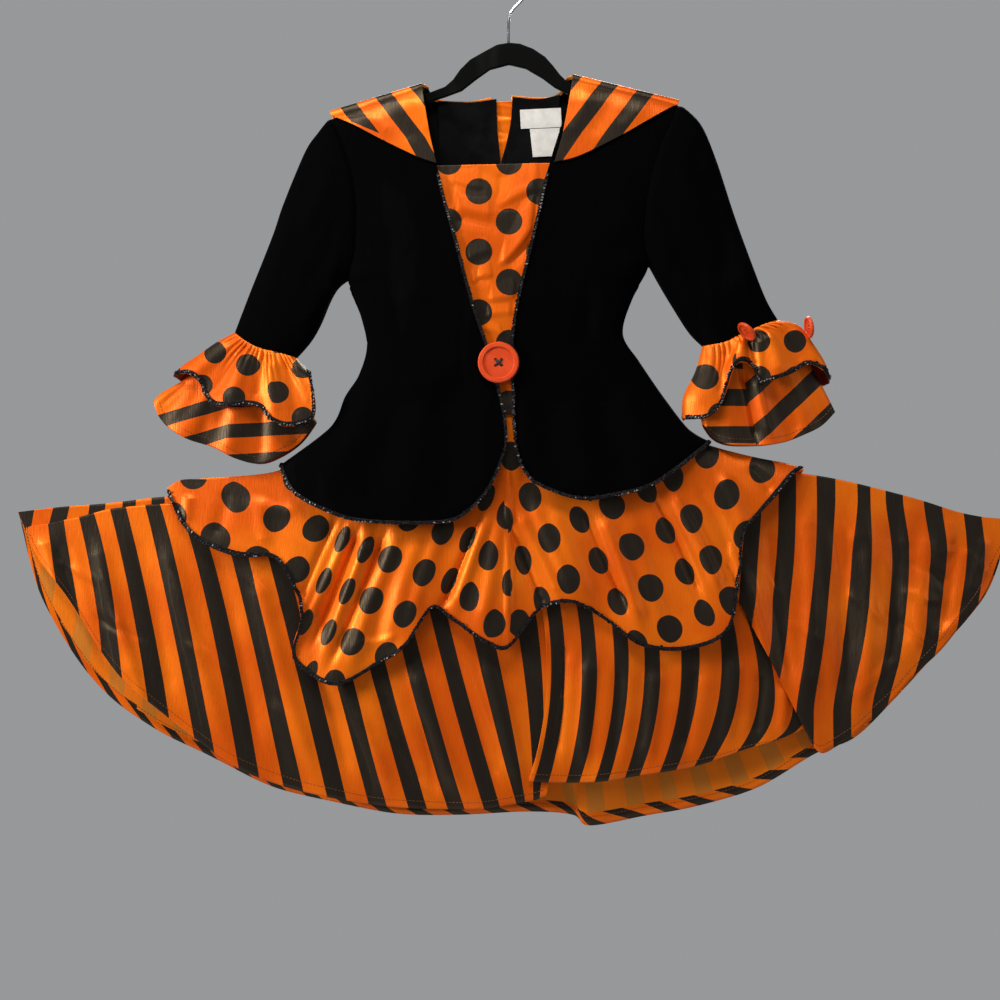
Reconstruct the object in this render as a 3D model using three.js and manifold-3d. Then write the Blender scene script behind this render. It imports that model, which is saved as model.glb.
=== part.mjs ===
import * as THREE from "three";
import { mergeVertices } from "three/addons/utils/BufferGeometryUtils.js";
import Module from "manifold-3d";

const wasm = await Module();
wasm.setup();

// A girl's witch costume on its flocked hanger: velvet jacket, satin bodice, collar, ruffled cuffs,
// spotted overskirt and striped circle skirt. Sizes are in mm. The origin is the inside top of the hook.
// In the tables x runs across the garment and down is measured down from the hook.

// Main sizes
const CLOTH = 1.2;
const SEAM = 0.3;
const LAYER = 0.5;
const TRIM_WIDE = 5;
const TRIM_THICK = 1.3;
const WIRE = 3;
const HOOK_RADIUS = 24;
const HANGER_THICK = 5;
const BUTTON_RADIUS = 20.4;
const BUTTON_THICK = 4.4;
const CUFF_BUTTON_RADIUS = 11;
const CUFF_BUTTON_THICK = 3.6;

// Colours of the cloths and hard parts
const ORANGE = 0xe87422;
const VELVET = 0x050506;
const LINING = 0x161416;
const SEQUIN = 0x18161a;
const LABEL_WHITE = 0xe8e4dc;
const BUTTON_ORANGE = 0xe25a32;
const WIRE_SILVER = 0xc8cacd;

const group = new THREE.Group();

// Tables: the first text names the columns, each row is one section or fold
const table = (columns, ...rows) => {
  const names = columns.split(" ");
  return rows.map((row) => Object.fromEntries(names.map((name, i) => [name, row[i]])));
};

const mix = (a, b, t) => a + (b - a) * t;
const clamp = (t) => Math.min(1, Math.max(0, t));
const roundRise = (t) => Math.sqrt(1 - (1 - clamp(t)) ** 2);

// A smooth curve through the numbers at whole steps
function smooth(values, t) {
  const last = values.length - 1;
  const i = Math.min(last - 1, Math.max(0, Math.floor(t)));
  const f = t - i;
  const at = (k) => values[Math.min(last, Math.max(0, k))];
  const [a, b, c, d] = [at(i - 1), at(i), at(i + 1), at(i + 2)];
  const slopeB = (c - a) / 2;
  const slopeC = (d - b) / 2;
  return (
    b * (1 + 2 * f) * (1 - f) ** 2 +
    slopeB * f * (1 - f) ** 2 +
    c * f * f * (3 - 2 * f) -
    slopeC * f * f * (1 - f)
  );
}

// An edge through the table's points, even along its length
function edge(points) {
  const reach = [0];
  for (let i = 1; i < points.length; i++) {
    const dx = points[i].x - points[i - 1].x;
    const dd = points[i].down - points[i - 1].down;
    reach.push(reach[i - 1] + Math.hypot(dx, dd));
  }
  const total = reach[reach.length - 1];
  const xs = points.map((p) => p.x);
  const downs = points.map((p) => p.down);
  return (t) => {
    const want = clamp(t) * total;
    let i = 0;
    while (i < reach.length - 2 && reach[i + 1] < want) i++;
    const step = i + (want - reach[i]) / (reach[i + 1] - reach[i]);
    return { x: smooth(xs, step), down: smooth(downs, step) };
  };
}

// A panel between four edges; side tables hold only the points between the corners
function panel({ top, hem, left = [], right = [] }) {
  const end = (list) => list[list.length - 1];
  const topEdge = edge(top);
  const hemEdge = edge(hem);
  const leftEdge = edge([top[0], ...left, hem[0]]);
  const rightEdge = edge([end(top), ...right, end(hem)]);
  const pick = (key, u, v) =>
    mix(topEdge(u)[key], hemEdge(u)[key], v) +
    mix(leftEdge(v)[key], rightEdge(v)[key], u) -
    mix(mix(top[0][key], end(top)[key], u), mix(hem[0][key], end(hem)[key], u), v);
  return (u, v) => ({ x: pick("x", u, v), down: pick("down", u, v) });
}

// A panel laid along its ribs: each row runs from its top through its middle to the hem
function ribbed(rows) {
  const column = (key) => rows.map((row) => row[key]);
  const [topX, midX, hemX] = ["topX", "midX", "hemX"].map(column);
  const [topD, midD, hemD] = ["topD", "midD", "hemD"].map(column);
  const [topOut, hemOut] = ["topOut", "hemOut"].map(column);
  const along = (a, b, c, v) => a * (1 - v) * (1 - 2 * v) + 4 * b * v * (1 - v) + c * v * (2 * v - 1);
  return (u, v) => {
    const t = u * (rows.length - 1);
    return {
      x: along(smooth(topX, t), smooth(midX, t), smooth(hemX, t), v),
      down: along(smooth(topD, t), smooth(midD, t), smooth(hemD, t), v),
      out: mix(smooth(topOut, t), smooth(hemOut, t), v),
    };
  };
}

// Even stops from 0 to 1, or closer together towards both ends
const even = (count) => Array.from({ length: count + 1 }, (_, i) => i / count);
const eased = (count) => even(count).map((t) => t * 0.45 + 0.55 * (1 - Math.cos(Math.PI * t)) * 0.5);

// A closed wall between an outer and an inner grid of points
function wall(outer, inner, wraps) {
  const rows = outer.length;
  const columns = outer[0].length;
  const points = [...outer.flat(), ...inner.flat()];
  const faces = [];
  const quad = (a, b, c, d) => faces.push(a, b, c, a, c, d);
  const at = (side, j, i) => side * rows * columns + j * columns + (i % columns);
  const lastColumn = wraps ? columns : columns - 1;
  for (let j = 0; j < rows - 1; j++)
    for (let i = 0; i < lastColumn; i++) {
      quad(at(0, j, i), at(0, j, i + 1), at(0, j + 1, i + 1), at(0, j + 1, i));
      quad(at(1, j, i), at(1, j + 1, i), at(1, j + 1, i + 1), at(1, j, i + 1));
    }
  for (let i = 0; i < lastColumn; i++) {
    quad(at(0, 0, i), at(1, 0, i), at(1, 0, i + 1), at(0, 0, i + 1));
    const j = rows - 1;
    quad(at(0, j, i), at(0, j, i + 1), at(1, j, i + 1), at(1, j, i));
  }
  if (!wraps)
    for (let j = 0; j < rows - 1; j++) {
      quad(at(0, j, 0), at(0, j + 1, 0), at(1, j + 1, 0), at(1, j, 0));
      const i = columns - 1;
      quad(at(0, j, i), at(1, j, i), at(1, j + 1, i), at(0, j + 1, i));
    }
  return closed(points, faces);
}

// The closed body, turned the right way out
function closed(points, faces) {
  let volume = 0;
  for (let f = 0; f < faces.length; f += 3) {
    const [a, b, c] = [points[faces[f]], points[faces[f + 1]], points[faces[f + 2]]];
    volume += a.dot(b.clone().cross(c));
  }
  if (volume < 0) faces.reverse();
  const geometry = new THREE.BufferGeometry().setFromPoints(points);
  geometry.setIndex(faces);
  geometry.computeVertexNormals();
  return geometry;
}

const FINISH = {
  satin: { roughness: 0.38, metalness: 0 },
  velvet: { roughness: 0.95, metalness: 0 },
  hard: { roughness: 0.35, metalness: 0 },
  wire: { roughness: 0.25, metalness: 1 },
};

function add(name, geometry, color, finish) {
  const mesh = new THREE.Mesh(geometry, new THREE.MeshStandardMaterial({ color, ...FINISH[finish] }));
  mesh.name = name;
  group.add(mesh);
}

const place = (p, out) => new THREE.Vector3(p.x, -out, -p.down);

// A flat-lying piece: face gives each point and how far its inside stands out to the front
function sheet(face, across, along, side = 1, thick = CLOTH) {
  const inner = along.map((v) => across.map((u) => face(u, v)));
  const skin = (more) => inner.map((row) => row.map((p) => place(p, side * (p.out + more))));
  return wall(skin(thick), skin(0), false);
}

// A piece that goes all round: a front face and a back face joined at both sides
function roundPiece(front, back, across, along, thick = CLOTH) {
  const outer = along.map((v) => [
    ...across.map((u) => place(front(u, v), front(u, v).out)),
    ...[...across].reverse().map((u) => place(back(u, v), -back(u, v).out)),
  ]);
  const rows = outer.length;
  const columns = outer[0].length;
  const get = (j, i) => outer[Math.min(rows - 1, Math.max(0, j))][(i + columns) % columns];
  const lean = (j, i) => {
    const round = get(j, i + 1).clone().sub(get(j, i - 1));
    const down = get(j + 1, i).clone().sub(get(j - 1, i));
    return down.cross(round).normalize();
  };
  const middle = get(0, 0).clone().add(get(0, across.length - 1)).multiplyScalar(0.5);
  const test = Math.floor(across.length / 2);
  const sign = Math.sign(lean(0, test).dot(get(0, test).clone().sub(middle))) || 1;
  const inner = outer.map((row, j) =>
    row.map((p, i) => p.clone().addScaledVector(lean(j, i), -sign * thick)),
  );
  return wall(outer, inner, true);
}

// The strip of a face beside its hem or one of its sides: trims are made from the panel under them
function beside(face, which, lift) {
  const shareOf = (a, b) => Math.min(0.45, TRIM_WIDE / Math.hypot(a.x - b.x, a.down - b.down));
  return (u, v) => {
    if (which === "hem") {
      const share = shareOf(face(u, 0), face(u, 1));
      const p = face(u, 1 - share * (1 - v));
      return { ...p, out: p.out + lift };
    }
    const share = shareOf(face(0, v), face(1, v));
    const p = which === "left" ? face(share * u, v) : face(1 - share * (1 - u), v);
    return { ...p, out: p.out + lift };
  };
}

// Body depth: how far the inside of the jacket's front stands out, by level
const FRONT_DEPTH = table(
  "down out",
  [114, 4.5],
  [144, 8.5],
  [170, 10],
  [208, 12],
  [270, 16],
  [340, 17],
  [404, 13],
  [444, 13],
  [490, 19],
  [526, 24],
  [570, 28],
);
const BACK_DEPTH = table(
  "down out",
  [114, 4.5],
  [144, 8.5],
  [170, 9.5],
  [208, 10],
  [270, 11],
  [340, 11],
  [404, 10],
  [444, 11.5],
  [490, 15.5],
  [526, 19],
  [570, 21],
);

// The value of a column at a level, between the rows around it
function atLevel(rows, key, down) {
  let i = 0;
  while (i < rows.length - 2 && rows[i + 1].down < down) i++;
  const f = clamp((down - rows[i].down) / (rows[i + 1].down - rows[i].down));
  return mix(rows[i][key], rows[i + 1][key], f);
}

// Left front of the jacket
const LEFT_FRONT = {
  top: table("x down", [-173, 160], [-125, 144], [-81, 128]),
  left: table(
    "x down",
    [-156, 200], [-148, 245], [-149, 290], [-156, 321], [-144, 352], [-137, 385],
    [-145, 415], [-159, 437], [-174, 468],
  ),
  right: table(
    "x down",
    [-75, 165], [-67, 212], [-50, 276], [-33, 340], [-18, 385], [-5, 432],
    [1, 465],
  ),
  hem: table(
    "x down",
    [-224, 506], [-208, 534], [-168, 555], [-137, 562], [-81, 564], [-49, 560],
    [-26, 542], [-11, 519], [1, 487],
  ),
};
// Right front of the jacket, its first column at the front edge
const RIGHT_FRONT = {
  top: table("x down", [67, 120], [120, 134], [174, 147]),
  left: table(
    "x down",
    [58, 160], [42, 214], [28, 274], [13, 338], [7, 383], [8, 432],
    [9, 465],
  ),
  right: table(
    "x down",
    [153, 190], [141, 240], [138, 280], [143, 307], [126, 340], [117, 375],
    [134, 403], [158, 438], [183, 470],
  ),
  hem: table(
    "x down",
    [10, 487], [20, 514], [37, 528], [75, 540], [108, 536], [141, 528],
    [166, 513], [205, 483],
  ),
};

// The sides of the body from shoulder tip to hem, and the two shoulder seams
const LEFT_SIDE = [LEFT_FRONT.top[0], ...LEFT_FRONT.left, LEFT_FRONT.hem[0]];
const RIGHT_SIDE = [RIGHT_FRONT.top[2], ...RIGHT_FRONT.right, RIGHT_FRONT.hem[7]];
const SHOULDER = {
  left: { tip: LEFT_FRONT.top[0], neck: LEFT_FRONT.top[2], under: 321 },
  right: { tip: RIGHT_FRONT.top[2], neck: RIGHT_FRONT.top[0], under: 307 },
};
// How far in from the side, and below the shoulder, the body reaches its full depth
const SIDE_REACH = 62;
const SHOULDER_REACH = 22;
// Depth of the sleeve head, where front, back and sleeve meet around the armhole
const SLEEVE_HEAD_DEEP = 11;

function headDepth(shoulder, down) {
  const t = clamp((down - shoulder.tip.down) / (shoulder.under - shoulder.tip.down));
  return SLEEVE_HEAD_DEEP * (2 * Math.sqrt(t * (1 - t))) ** 0.8;
}

function shoulderLine(shoulder, x) {
  const { tip, neck } = shoulder;
  return mix(tip.down, neck.down, (x - tip.x) / (neck.x - tip.x));
}

// How far the inside of the body's wall stands out at a point
function bodyOut(depths, p) {
  const onLeft = p.x < 0;
  const side = onLeft ? LEFT_SIDE : RIGHT_SIDE;
  const shoulder = onLeft ? SHOULDER.left : SHOULDER.right;
  const inward = Math.abs(atLevel(side, "x", p.down) - p.x);
  const below = p.down - shoulderLine(shoulder, p.x);
  const seam = SEAM / 2 + headDepth(shoulder, p.down);
  const full = Math.max(atLevel(depths, "out", p.down), seam);
  return mix(SEAM / 2, mix(seam, full, roundRise(inward / SIDE_REACH)), roundRise(below / SHOULDER_REACH));
}
const onBody = (cut, depths, lift = 0) => {
  const at = panel(cut);
  return (u, v) => {
    const p = at(u, v);
    return { ...p, out: bodyOut(depths, p) + lift };
  };
};

const leftFront = onBody(LEFT_FRONT, FRONT_DEPTH);
const rightFront = onBody(RIGHT_FRONT, FRONT_DEPTH);
add("jacket_front_left", sheet(leftFront, eased(10), eased(16)), VELVET, "velvet");
add("jacket_front_right", sheet(rightFront, eased(10), eased(16)), VELVET, "velvet");

// Back of the jacket in two halves, open at the neck and seamed below
const LEFT_BACK = {
  top: table("x down", [-173, 160], [-125, 144], [-80, 128], [-72, 139], [-40, 142], [-15, 138]),
  left: LEFT_FRONT.left,
  right: table("x down", [-8, 170], [-3.5, 200], [-1, 300], [0, 420]),
  hem: table(
    "x down",
    [-224, 506], [-205, 530], [-160, 547], [-105, 554], [-55, 556], [0, 557],
  ),
};
const RIGHT_BACK = {
  top: table("x down", [9, 136], [40, 138], [57, 133], [66, 120], [120, 134], [174, 147]),
  left: table("x down", [3, 170], [-2, 200], [-0.2, 300], [0.6, 420]),
  right: RIGHT_FRONT.right,
  hem: table(
    "x down",
    [0.6, 557], [55, 554], [105, 544], [145, 528], [180, 504], [205, 483],
  ),
};
add("jacket_back_left", sheet(onBody(LEFT_BACK, BACK_DEPTH), eased(9), eased(11), -1), VELVET, "velvet");
add("jacket_back_right", sheet(onBody(RIGHT_BACK, BACK_DEPTH), eased(9), eased(11), -1), VELVET, "velvet");

// Inside the back neck: black facings each side of the slit, and the satin placket behind it
const UNDER = -(CLOTH + 0.8);
const facing = (cut) => onBody(cut, BACK_DEPTH, 2 * UNDER);
const LEFT_FACING = {
  top: table("x down", [-67, 144], [-40, 145], [-16, 141]),
  hem: table("x down", [-65, 232], [-35, 236], [-5, 237]),
  right: table("x down", [-10, 170], [-6, 198]),
};
const RIGHT_FACING = {
  top: table("x down", [10, 139], [35, 141], [55, 138]),
  hem: table("x down", [-1, 237], [25, 236], [51, 232]),
  left: table("x down", [4, 170], [-1, 198]),
};
add("neck_facing_left", sheet(facing(LEFT_FACING), even(4), eased(6), -1), LINING, "satin");
add("neck_facing_right", sheet(facing(RIGHT_FACING), even(4), eased(6), -1), LINING, "satin");

const PLACKET = {
  top: table("x down", [-16, 141], [12, 139]),
  hem: table("x down", [-7, 208], [4, 208]),
};
add("neck_placket", sheet(onBody(PLACKET, BACK_DEPTH, UNDER), even(3), even(5), -1), ORANGE, "satin");

// Sewn label and the two care labels under it, all bare, on the inside of the facing
const LABEL_THICK = 0.8;
const LABEL_LIFT = 2 * UNDER - LAYER - LABEL_THICK;
const label = (cut) => sheet(onBody(cut, BACK_DEPTH, LABEL_LIFT), even(4), even(3), -1, LABEL_THICK);
const NECK_LABEL = {
  top: table("x down", [15, 149], [56, 147]),
  hem: table("x down", [16, 168], [57, 166]),
};
const CARE_LABEL = {
  top: table("x down", [25, 168.2], [55, 166.8]),
  hem: table("x down", [28, 196], [52, 195]),
};
add("neck_label", label(NECK_LABEL), LABEL_WHITE, "velvet");
add("care_label", label(CARE_LABEL), LABEL_WHITE, "velvet");

// Satin inset of the bodice, its edges under the two fronts
const INSET = {
  top: table("x down", [-75, 208], [-15, 206.5], [51, 205]),
  left: table("x down", [-58, 276], [-41, 340], [-25, 390]),
  right: table("x down", [36, 274], [22, 338], [16, 390]),
  hem: table("x down", [-15, 444], [1, 445], [17, 444]),
};
const inset = onBody(INSET, FRONT_DEPTH, UNDER);
add("bodice_inset", sheet(inset, even(6), even(12)), ORANGE, "satin");

// Sleeves: each goes round from the outer edge to the inner one
function sleeve(cut, shoulder, depths) {
  const at = panel(cut);
  return (u, v) => {
    const p = at(u, v);
    const head = headDepth(shoulder, p.down) + SEAM / 2 + CLOTH;
    const round = 0.8 + (2 * Math.sqrt(u * (1 - u))) ** 0.8 * mix(depths.upper, depths.cuff, v);
    return { ...p, out: mix(head, round, roundRise(v / 0.3)) };
  };
}
const LEFT_SLEEVE = {
  top: table("x down", [-174.5, 160], [-158, 201], [-150, 245], [-151, 290], [-157.5, 320]),
  left: table("x down", [-185, 173], [-199, 193], [-220, 243], [-232, 278], [-255, 336]),
  right: table("x down", [-167, 328], [-175, 341], [-185, 365], [-195, 382]),
  hem: table("x down", [-269, 373], [-257, 382], [-243, 389], [-225, 393], [-209, 398]),
};
const RIGHT_SLEEVE = {
  top: table("x down", [175.5, 147], [155, 191], [143, 240], [140, 280], [144.5, 306]),
  left: table("x down", [195, 166], [210, 200], [228, 255], [245, 302], [260, 340]),
  right: table("x down", [155, 325], [170, 350], [185, 373]),
  hem: table("x down", [272, 361], [255, 366], [236, 375], [217, 383], [198, 386]),
};
const SLEEVE_DEEP = { upper: 17, cuff: 13 };
const leftSleeve = sleeve(LEFT_SLEEVE, SHOULDER.left, SLEEVE_DEEP);
const rightSleeve = sleeve(RIGHT_SLEEVE, SHOULDER.right, SLEEVE_DEEP);
add("sleeve_left", roundPiece(leftSleeve, leftSleeve, eased(7), even(10)), VELVET, "velvet");
add("sleeve_right", roundPiece(rightSleeve, rightSleeve, eased(7), even(10)), VELVET, "velvet");

// A seam line moved a little along the sleeve, and drawn in from both its ends
function seamBeside(line, across, down, inset = 0) {
  const along = edge(line);
  return even(line.length - 1).map((t) => {
    const p = along(mix(inset, 1 - inset, t));
    return { x: p.x + across, down: p.down + down };
  });
}

// Gathered ruffles: the same way round, deeper at the hem, with a row of waves
function ruffle(cut, shape) {
  const at = panel(cut);
  return (u, v) => {
    const wave = shape.wave * Math.sin(Math.PI * (2 * shape.waves * u + shape.turn)) * v;
    const round = (2 * Math.sqrt(u * (1 - u))) ** 0.8;
    return { ...at(u, v), out: 0.8 + round * (mix(shape.seam, shape.hem, v) + wave) };
  };
}
const LEFT_DOTS = {
  top: seamBeside(LEFT_SLEEVE.hem, -0.2, 0.4),
  left: table("x down", [-287, 383], [-307, 397], [-323, 408]),
  right: table("x down", [-203, 405]),
  hem: table(
    "x down",
    [-331, 417], [-315, 415], [-303, 423], [-296, 438], [-283, 448], [-257, 447],
    [-240, 450], [-229, 462], [-213, 468], [-190, 460], [-188, 437], [-197, 411],
  ),
};
const LEFT_DOTS_BACK = {
  ...LEFT_DOTS,
  hem: table(
    "x down",
    [-331, 417], [-310, 432], [-280, 442], [-250, 448], [-220, 454], [-199, 442], [-197, 411],
  ),
};
const LEFT_STRIPES = {
  top: seamBeside(LEFT_SLEEVE.hem, -0.6, 1.2, 0.045),
  left: table("x down", [-290, 397], [-318, 419], [-342, 433]),
  right: table("x down", [-206, 418], [-199, 440]),
  hem: table(
    "x down",
    [-350, 441], [-345, 456], [-333, 469], [-314, 480], [-289, 488], [-267, 499],
    [-245, 504], [-225, 497], [-204, 483], [-189, 463],
  ),
};
const RIGHT_DOTS = {
  top: seamBeside(RIGHT_SLEEVE.hem, 0.2, 0.4),
  left: table("x down", [294, 368], [308, 387], [320, 408]),
  right: table("x down", [191, 412], [179, 437]),
  hem: table(
    "x down",
    [323, 424], [315, 412], [300, 406], [283, 415], [265, 422], [252, 425],
    [246, 412], [238, 405], [229, 406], [224, 415], [221, 426], [217, 438],
    [211, 449], [199, 459], [178, 459],
  ),
};
const RIGHT_DOTS_BACK = {
  ...RIGHT_DOTS,
  hem: table(
    "x down",
    [323, 424], [301, 432], [275, 440], [245, 448], [215, 454], [195, 458], [178, 459],
  ),
};
const RIGHT_STRIPES = {
  top: seamBeside(RIGHT_SLEEVE.hem, 0.6, 1.2, 0.045),
  left: table("x down", [285, 380], [301, 400], [317, 428]),
  right: table("x down", [199, 414], [194, 438]),
  hem: table(
    "x down",
    [329, 452], [315, 466], [295, 476], [276, 483], [250, 486], [223, 485],
    [207, 478], [198, 464],
  ),
};
const DOTS_SHAPE = { seam: 13, hem: 23, wave: 3.2, waves: 3.5, turn: 0.2 };
const STRIPES_SHAPE = { seam: 11, hem: 13, wave: 2.6, waves: 4, turn: 0.6 };
function ruffleRound(name, front, back, shape, across, along) {
  const body = roundPiece(ruffle(front, shape), ruffle(back, shape), eased(across), even(along));
  add(name, body, ORANGE, "satin");
}
ruffleRound("ruffle_dots_left", LEFT_DOTS, LEFT_DOTS_BACK, DOTS_SHAPE, 14, 4);
ruffleRound("ruffle_dots_right", RIGHT_DOTS, RIGHT_DOTS_BACK, DOTS_SHAPE, 14, 4);
ruffleRound("ruffle_stripes_left", LEFT_STRIPES, LEFT_STRIPES, STRIPES_SHAPE, 12, 5);
ruffleRound("ruffle_stripes_right", RIGHT_STRIPES, RIGHT_STRIPES, STRIPES_SHAPE, 12, 5);

// Collar: two wide satin flaps on the shoulders, each with its back half over the ridge
const COLLAR_LIFT = CLOTH + 1.5;
function collarFace(cut, depths) {
  const at = panel(cut);
  const [outer, neck] = [cut.ridge[0], cut.ridge[1]];
  return (u, v) => {
    const p = at(u, v);
    const ridge = mix(outer.down, neck.down, (p.x - outer.x) / (neck.x - outer.x));
    const out = bodyOut(depths, p) + COLLAR_LIFT;
    return { ...p, out: mix(SEAM / 2, out, roundRise((p.down - ridge) / 7)) };
  };
}
const LEFT_COLLAR = {
  ridge: table("x down", [-175, 152], [-83, 124]),
  top: table("x down", [-175, 152], [-129, 138], [-83, 124]),
  left: table("x down", [-174.4, 154]),
  right: table("x down", [-79, 152], [-74, 180]),
  hem: table("x down", [-173, 156], [-147, 169], [-121, 183], [-88, 199], [-68, 206]),
};
const RIGHT_COLLAR = {
  ridge: table("x down", [174, 141], [68, 115]),
  top: table("x down", [68, 115], [121, 128], [174, 141]),
  left: table("x down", [63, 145], [57, 177]),
  right: table("x down", [173.5, 143]),
  hem: table("x down", [49, 205], [73, 199], [110, 181], [143, 162], [172, 145]),
};
const LEFT_COLLAR_BACK = {
  ridge: LEFT_COLLAR.ridge,
  top: table("x down", [-175, 152], [-129, 138], [-83, 124], [-71, 136], [-40, 139], [-13, 135]),
  left: table("x down", [-169, 164]),
  right: table("x down", [-9, 165]),
  hem: table("x down", [-160, 176], [-125, 190], [-85, 200], [-45, 205], [-5, 206]),
};
const RIGHT_COLLAR_BACK = {
  ridge: RIGHT_COLLAR.ridge,
  top: table("x down", [7, 133], [40, 135], [55, 130], [68, 115], [121, 128], [174, 141]),
  left: table("x down", [4, 165]),
  right: table("x down", [169, 153]),
  hem: table("x down", [-1, 206], [40, 205], [85, 198], [127, 186], [162, 166]),
};
const collar = (name, cut, depths, side) =>
  add(name, sheet(collarFace(cut, depths), eased(8), eased(7), side), ORANGE, "satin");
collar("collar_left", LEFT_COLLAR, FRONT_DEPTH, 1);
collar("collar_right", RIGHT_COLLAR, FRONT_DEPTH, 1);
collar("collar_back_left", LEFT_COLLAR_BACK, BACK_DEPTH, -1);
collar("collar_back_right", RIGHT_COLLAR_BACK, BACK_DEPTH, -1);

// Striped skirt: the back in one, the front in three fans that lie over each other
const SKIRT_BACK = table(
  "topX topD midX midD hemX hemD topOut hemOut",
  [-487, 552, -485, 559, -483, 568, 0.2, 0.6],
  [-445, 547, -455, 590, -463, 640, 0.2, 3],
  [-395, 543, -403, 625, -413, 721, 0.2, 7],
  [-345, 537, -349, 645, -355, 767, 0.2, 5],
  [-290, 534, -289, 665, -297, 797, 0.2, 9],
  [-230, 527, -227, 680, -235, 827, 0.2, 6],
  [-173, 500, -170, 680, -171, 844, 0.3, 11],
  [-143, 464, -125, 680, -107, 855, 3, 7],
  [-105, 452, -75, 670, -44, 857, 4, 12],
  [-65, 448, -25, 660, 23, 853, 5, 8],
  [-25, 446, 20, 660, 68, 857, 5, 12],
  [10, 445, 55, 660, 85, 867, 5, 8],
  [45, 445, 100, 660, 141, 858, 5, 12],
  [85, 445, 145, 660, 195, 847, 5, 8],
  [120, 447, 190, 660, 255, 829, 4, 11],
  [145, 468, 233, 652, 311, 795, 2, 7],
  [199, 499, 279, 643, 353, 778, 0.3, 10],
  [255, 513, 325, 631, 396, 734, 0.2, 6],
  [307, 516, 365, 613, 432, 695, 0.2, 7],
  [357, 525, 404, 600, 462, 661, 0.2, 4],
  [410, 539, 444, 588, 483, 632, 0.2, 3],
  [460, 554, 475, 574, 496, 598, 0.2, 1.5],
  [500, 559, 501, 566, 500, 573, 0.2, 0.6],
);
const SKIRT_LEFT = table(
  "topX topD midX midD hemX hemD topOut hemOut",
  [-477, 567, -476, 571, -475, 576, 0.2, 0.8],
  [-467, 565, -461, 596, -457, 636, 0.2, 3],
  [-456, 563, -437, 618, -426, 699, 0.2, 5],
  [-425, 558, -410, 638, -388, 735, 0.2, 3],
  [-395, 550, -372, 640, -342, 767, 0.2, 7],
  [-360, 545, -333, 640, -304, 786, 0.2, 5],
  [-327, 543, -298, 642, -265, 807, 0.2, 9],
  [-290, 539, -259, 652, -221, 825, 0.2, 6],
  [-253, 534, -219, 665, -177, 835, 0.3, 10],
  [-215, 524, -178, 680, -136, 843, 0.5, 6],
  [-180, 502, -143, 675, -96, 846, 1, 11],
  [-147, 474, -108, 668, -57, 848, 3, 7],
  [-115, 456, -73, 660, -21, 847, 4, 11],
  [-81, 450, -37, 655, 11, 842, 5, 9],
  [-43, 447, 9, 650, 28, 839, 4.8, 7],
  [-5, 445, 53, 640, 41, 835, 4.6, 7],
);
const SKIRT_MID = table(
  "topX topD midX midD hemX hemD topOut hemOut",
  [-39, 447, 36, 645, 23, 819, 6.8, 11],
  [-29, 446, 44, 640, 32, 820, 6.8, 12],
  [0, 445, 77, 640, 67, 821, 6.4, 9],
  [30, 445, 111, 640, 96, 819, 5, 14],
  [60, 445, 141, 640, 127, 815, 5, 9],
  [85, 445, 177, 640, 161, 809, 5, 13],
  [105, 446, 216, 645, 196, 803, 3.8, 7],
  [125, 449, 249, 665, 240, 788, 2.2, 6],
  [138, 455, 281, 685, 273, 778, 1.2, 5],
  [147, 460, 305, 685, 302, 762, 0.8, 4],
);
const SKIRT_RIGHT = table(
  "topX topD midX midD hemX hemD topOut hemOut",
  [135, 461, 228, 632, 301, 775, 5.4, 12],
  [147, 471, 247, 630, 313, 791, 4.6, 13],
  [165, 482, 268, 624, 331, 784, 2.8, 9],
  [195, 496, 290, 622, 348, 773, 0.4, 10],
  [230, 506, 313, 618, 368, 756, 0.3, 6],
  [267, 511, 338, 614, 388, 737, 0.2, 9],
  [301, 514, 361, 608, 410, 713, 0.2, 5],
  [336, 520, 384, 604, 433, 690, 0.2, 8],
  [374, 529, 410, 599, 452, 668, 0.2, 4],
  [415, 540, 438, 593, 470, 646, 0.2, 5],
  [457, 553, 466, 585, 483, 625, 0.2, 2],
  [498, 560, 497, 576, 495, 592, 0.2, 0.8],
);
add("skirt_back", sheet(ribbed(SKIRT_BACK), even(34), even(6), -1), ORANGE, "satin");
add("skirt_front_left", sheet(ribbed(SKIRT_LEFT), even(20), even(6)), ORANGE, "satin");
add("skirt_front_mid", sheet(ribbed(SKIRT_MID), even(16), even(6)), ORANGE, "satin");
add("skirt_front_right", sheet(ribbed(SKIRT_RIGHT), even(16), even(6)), ORANGE, "satin");

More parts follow.
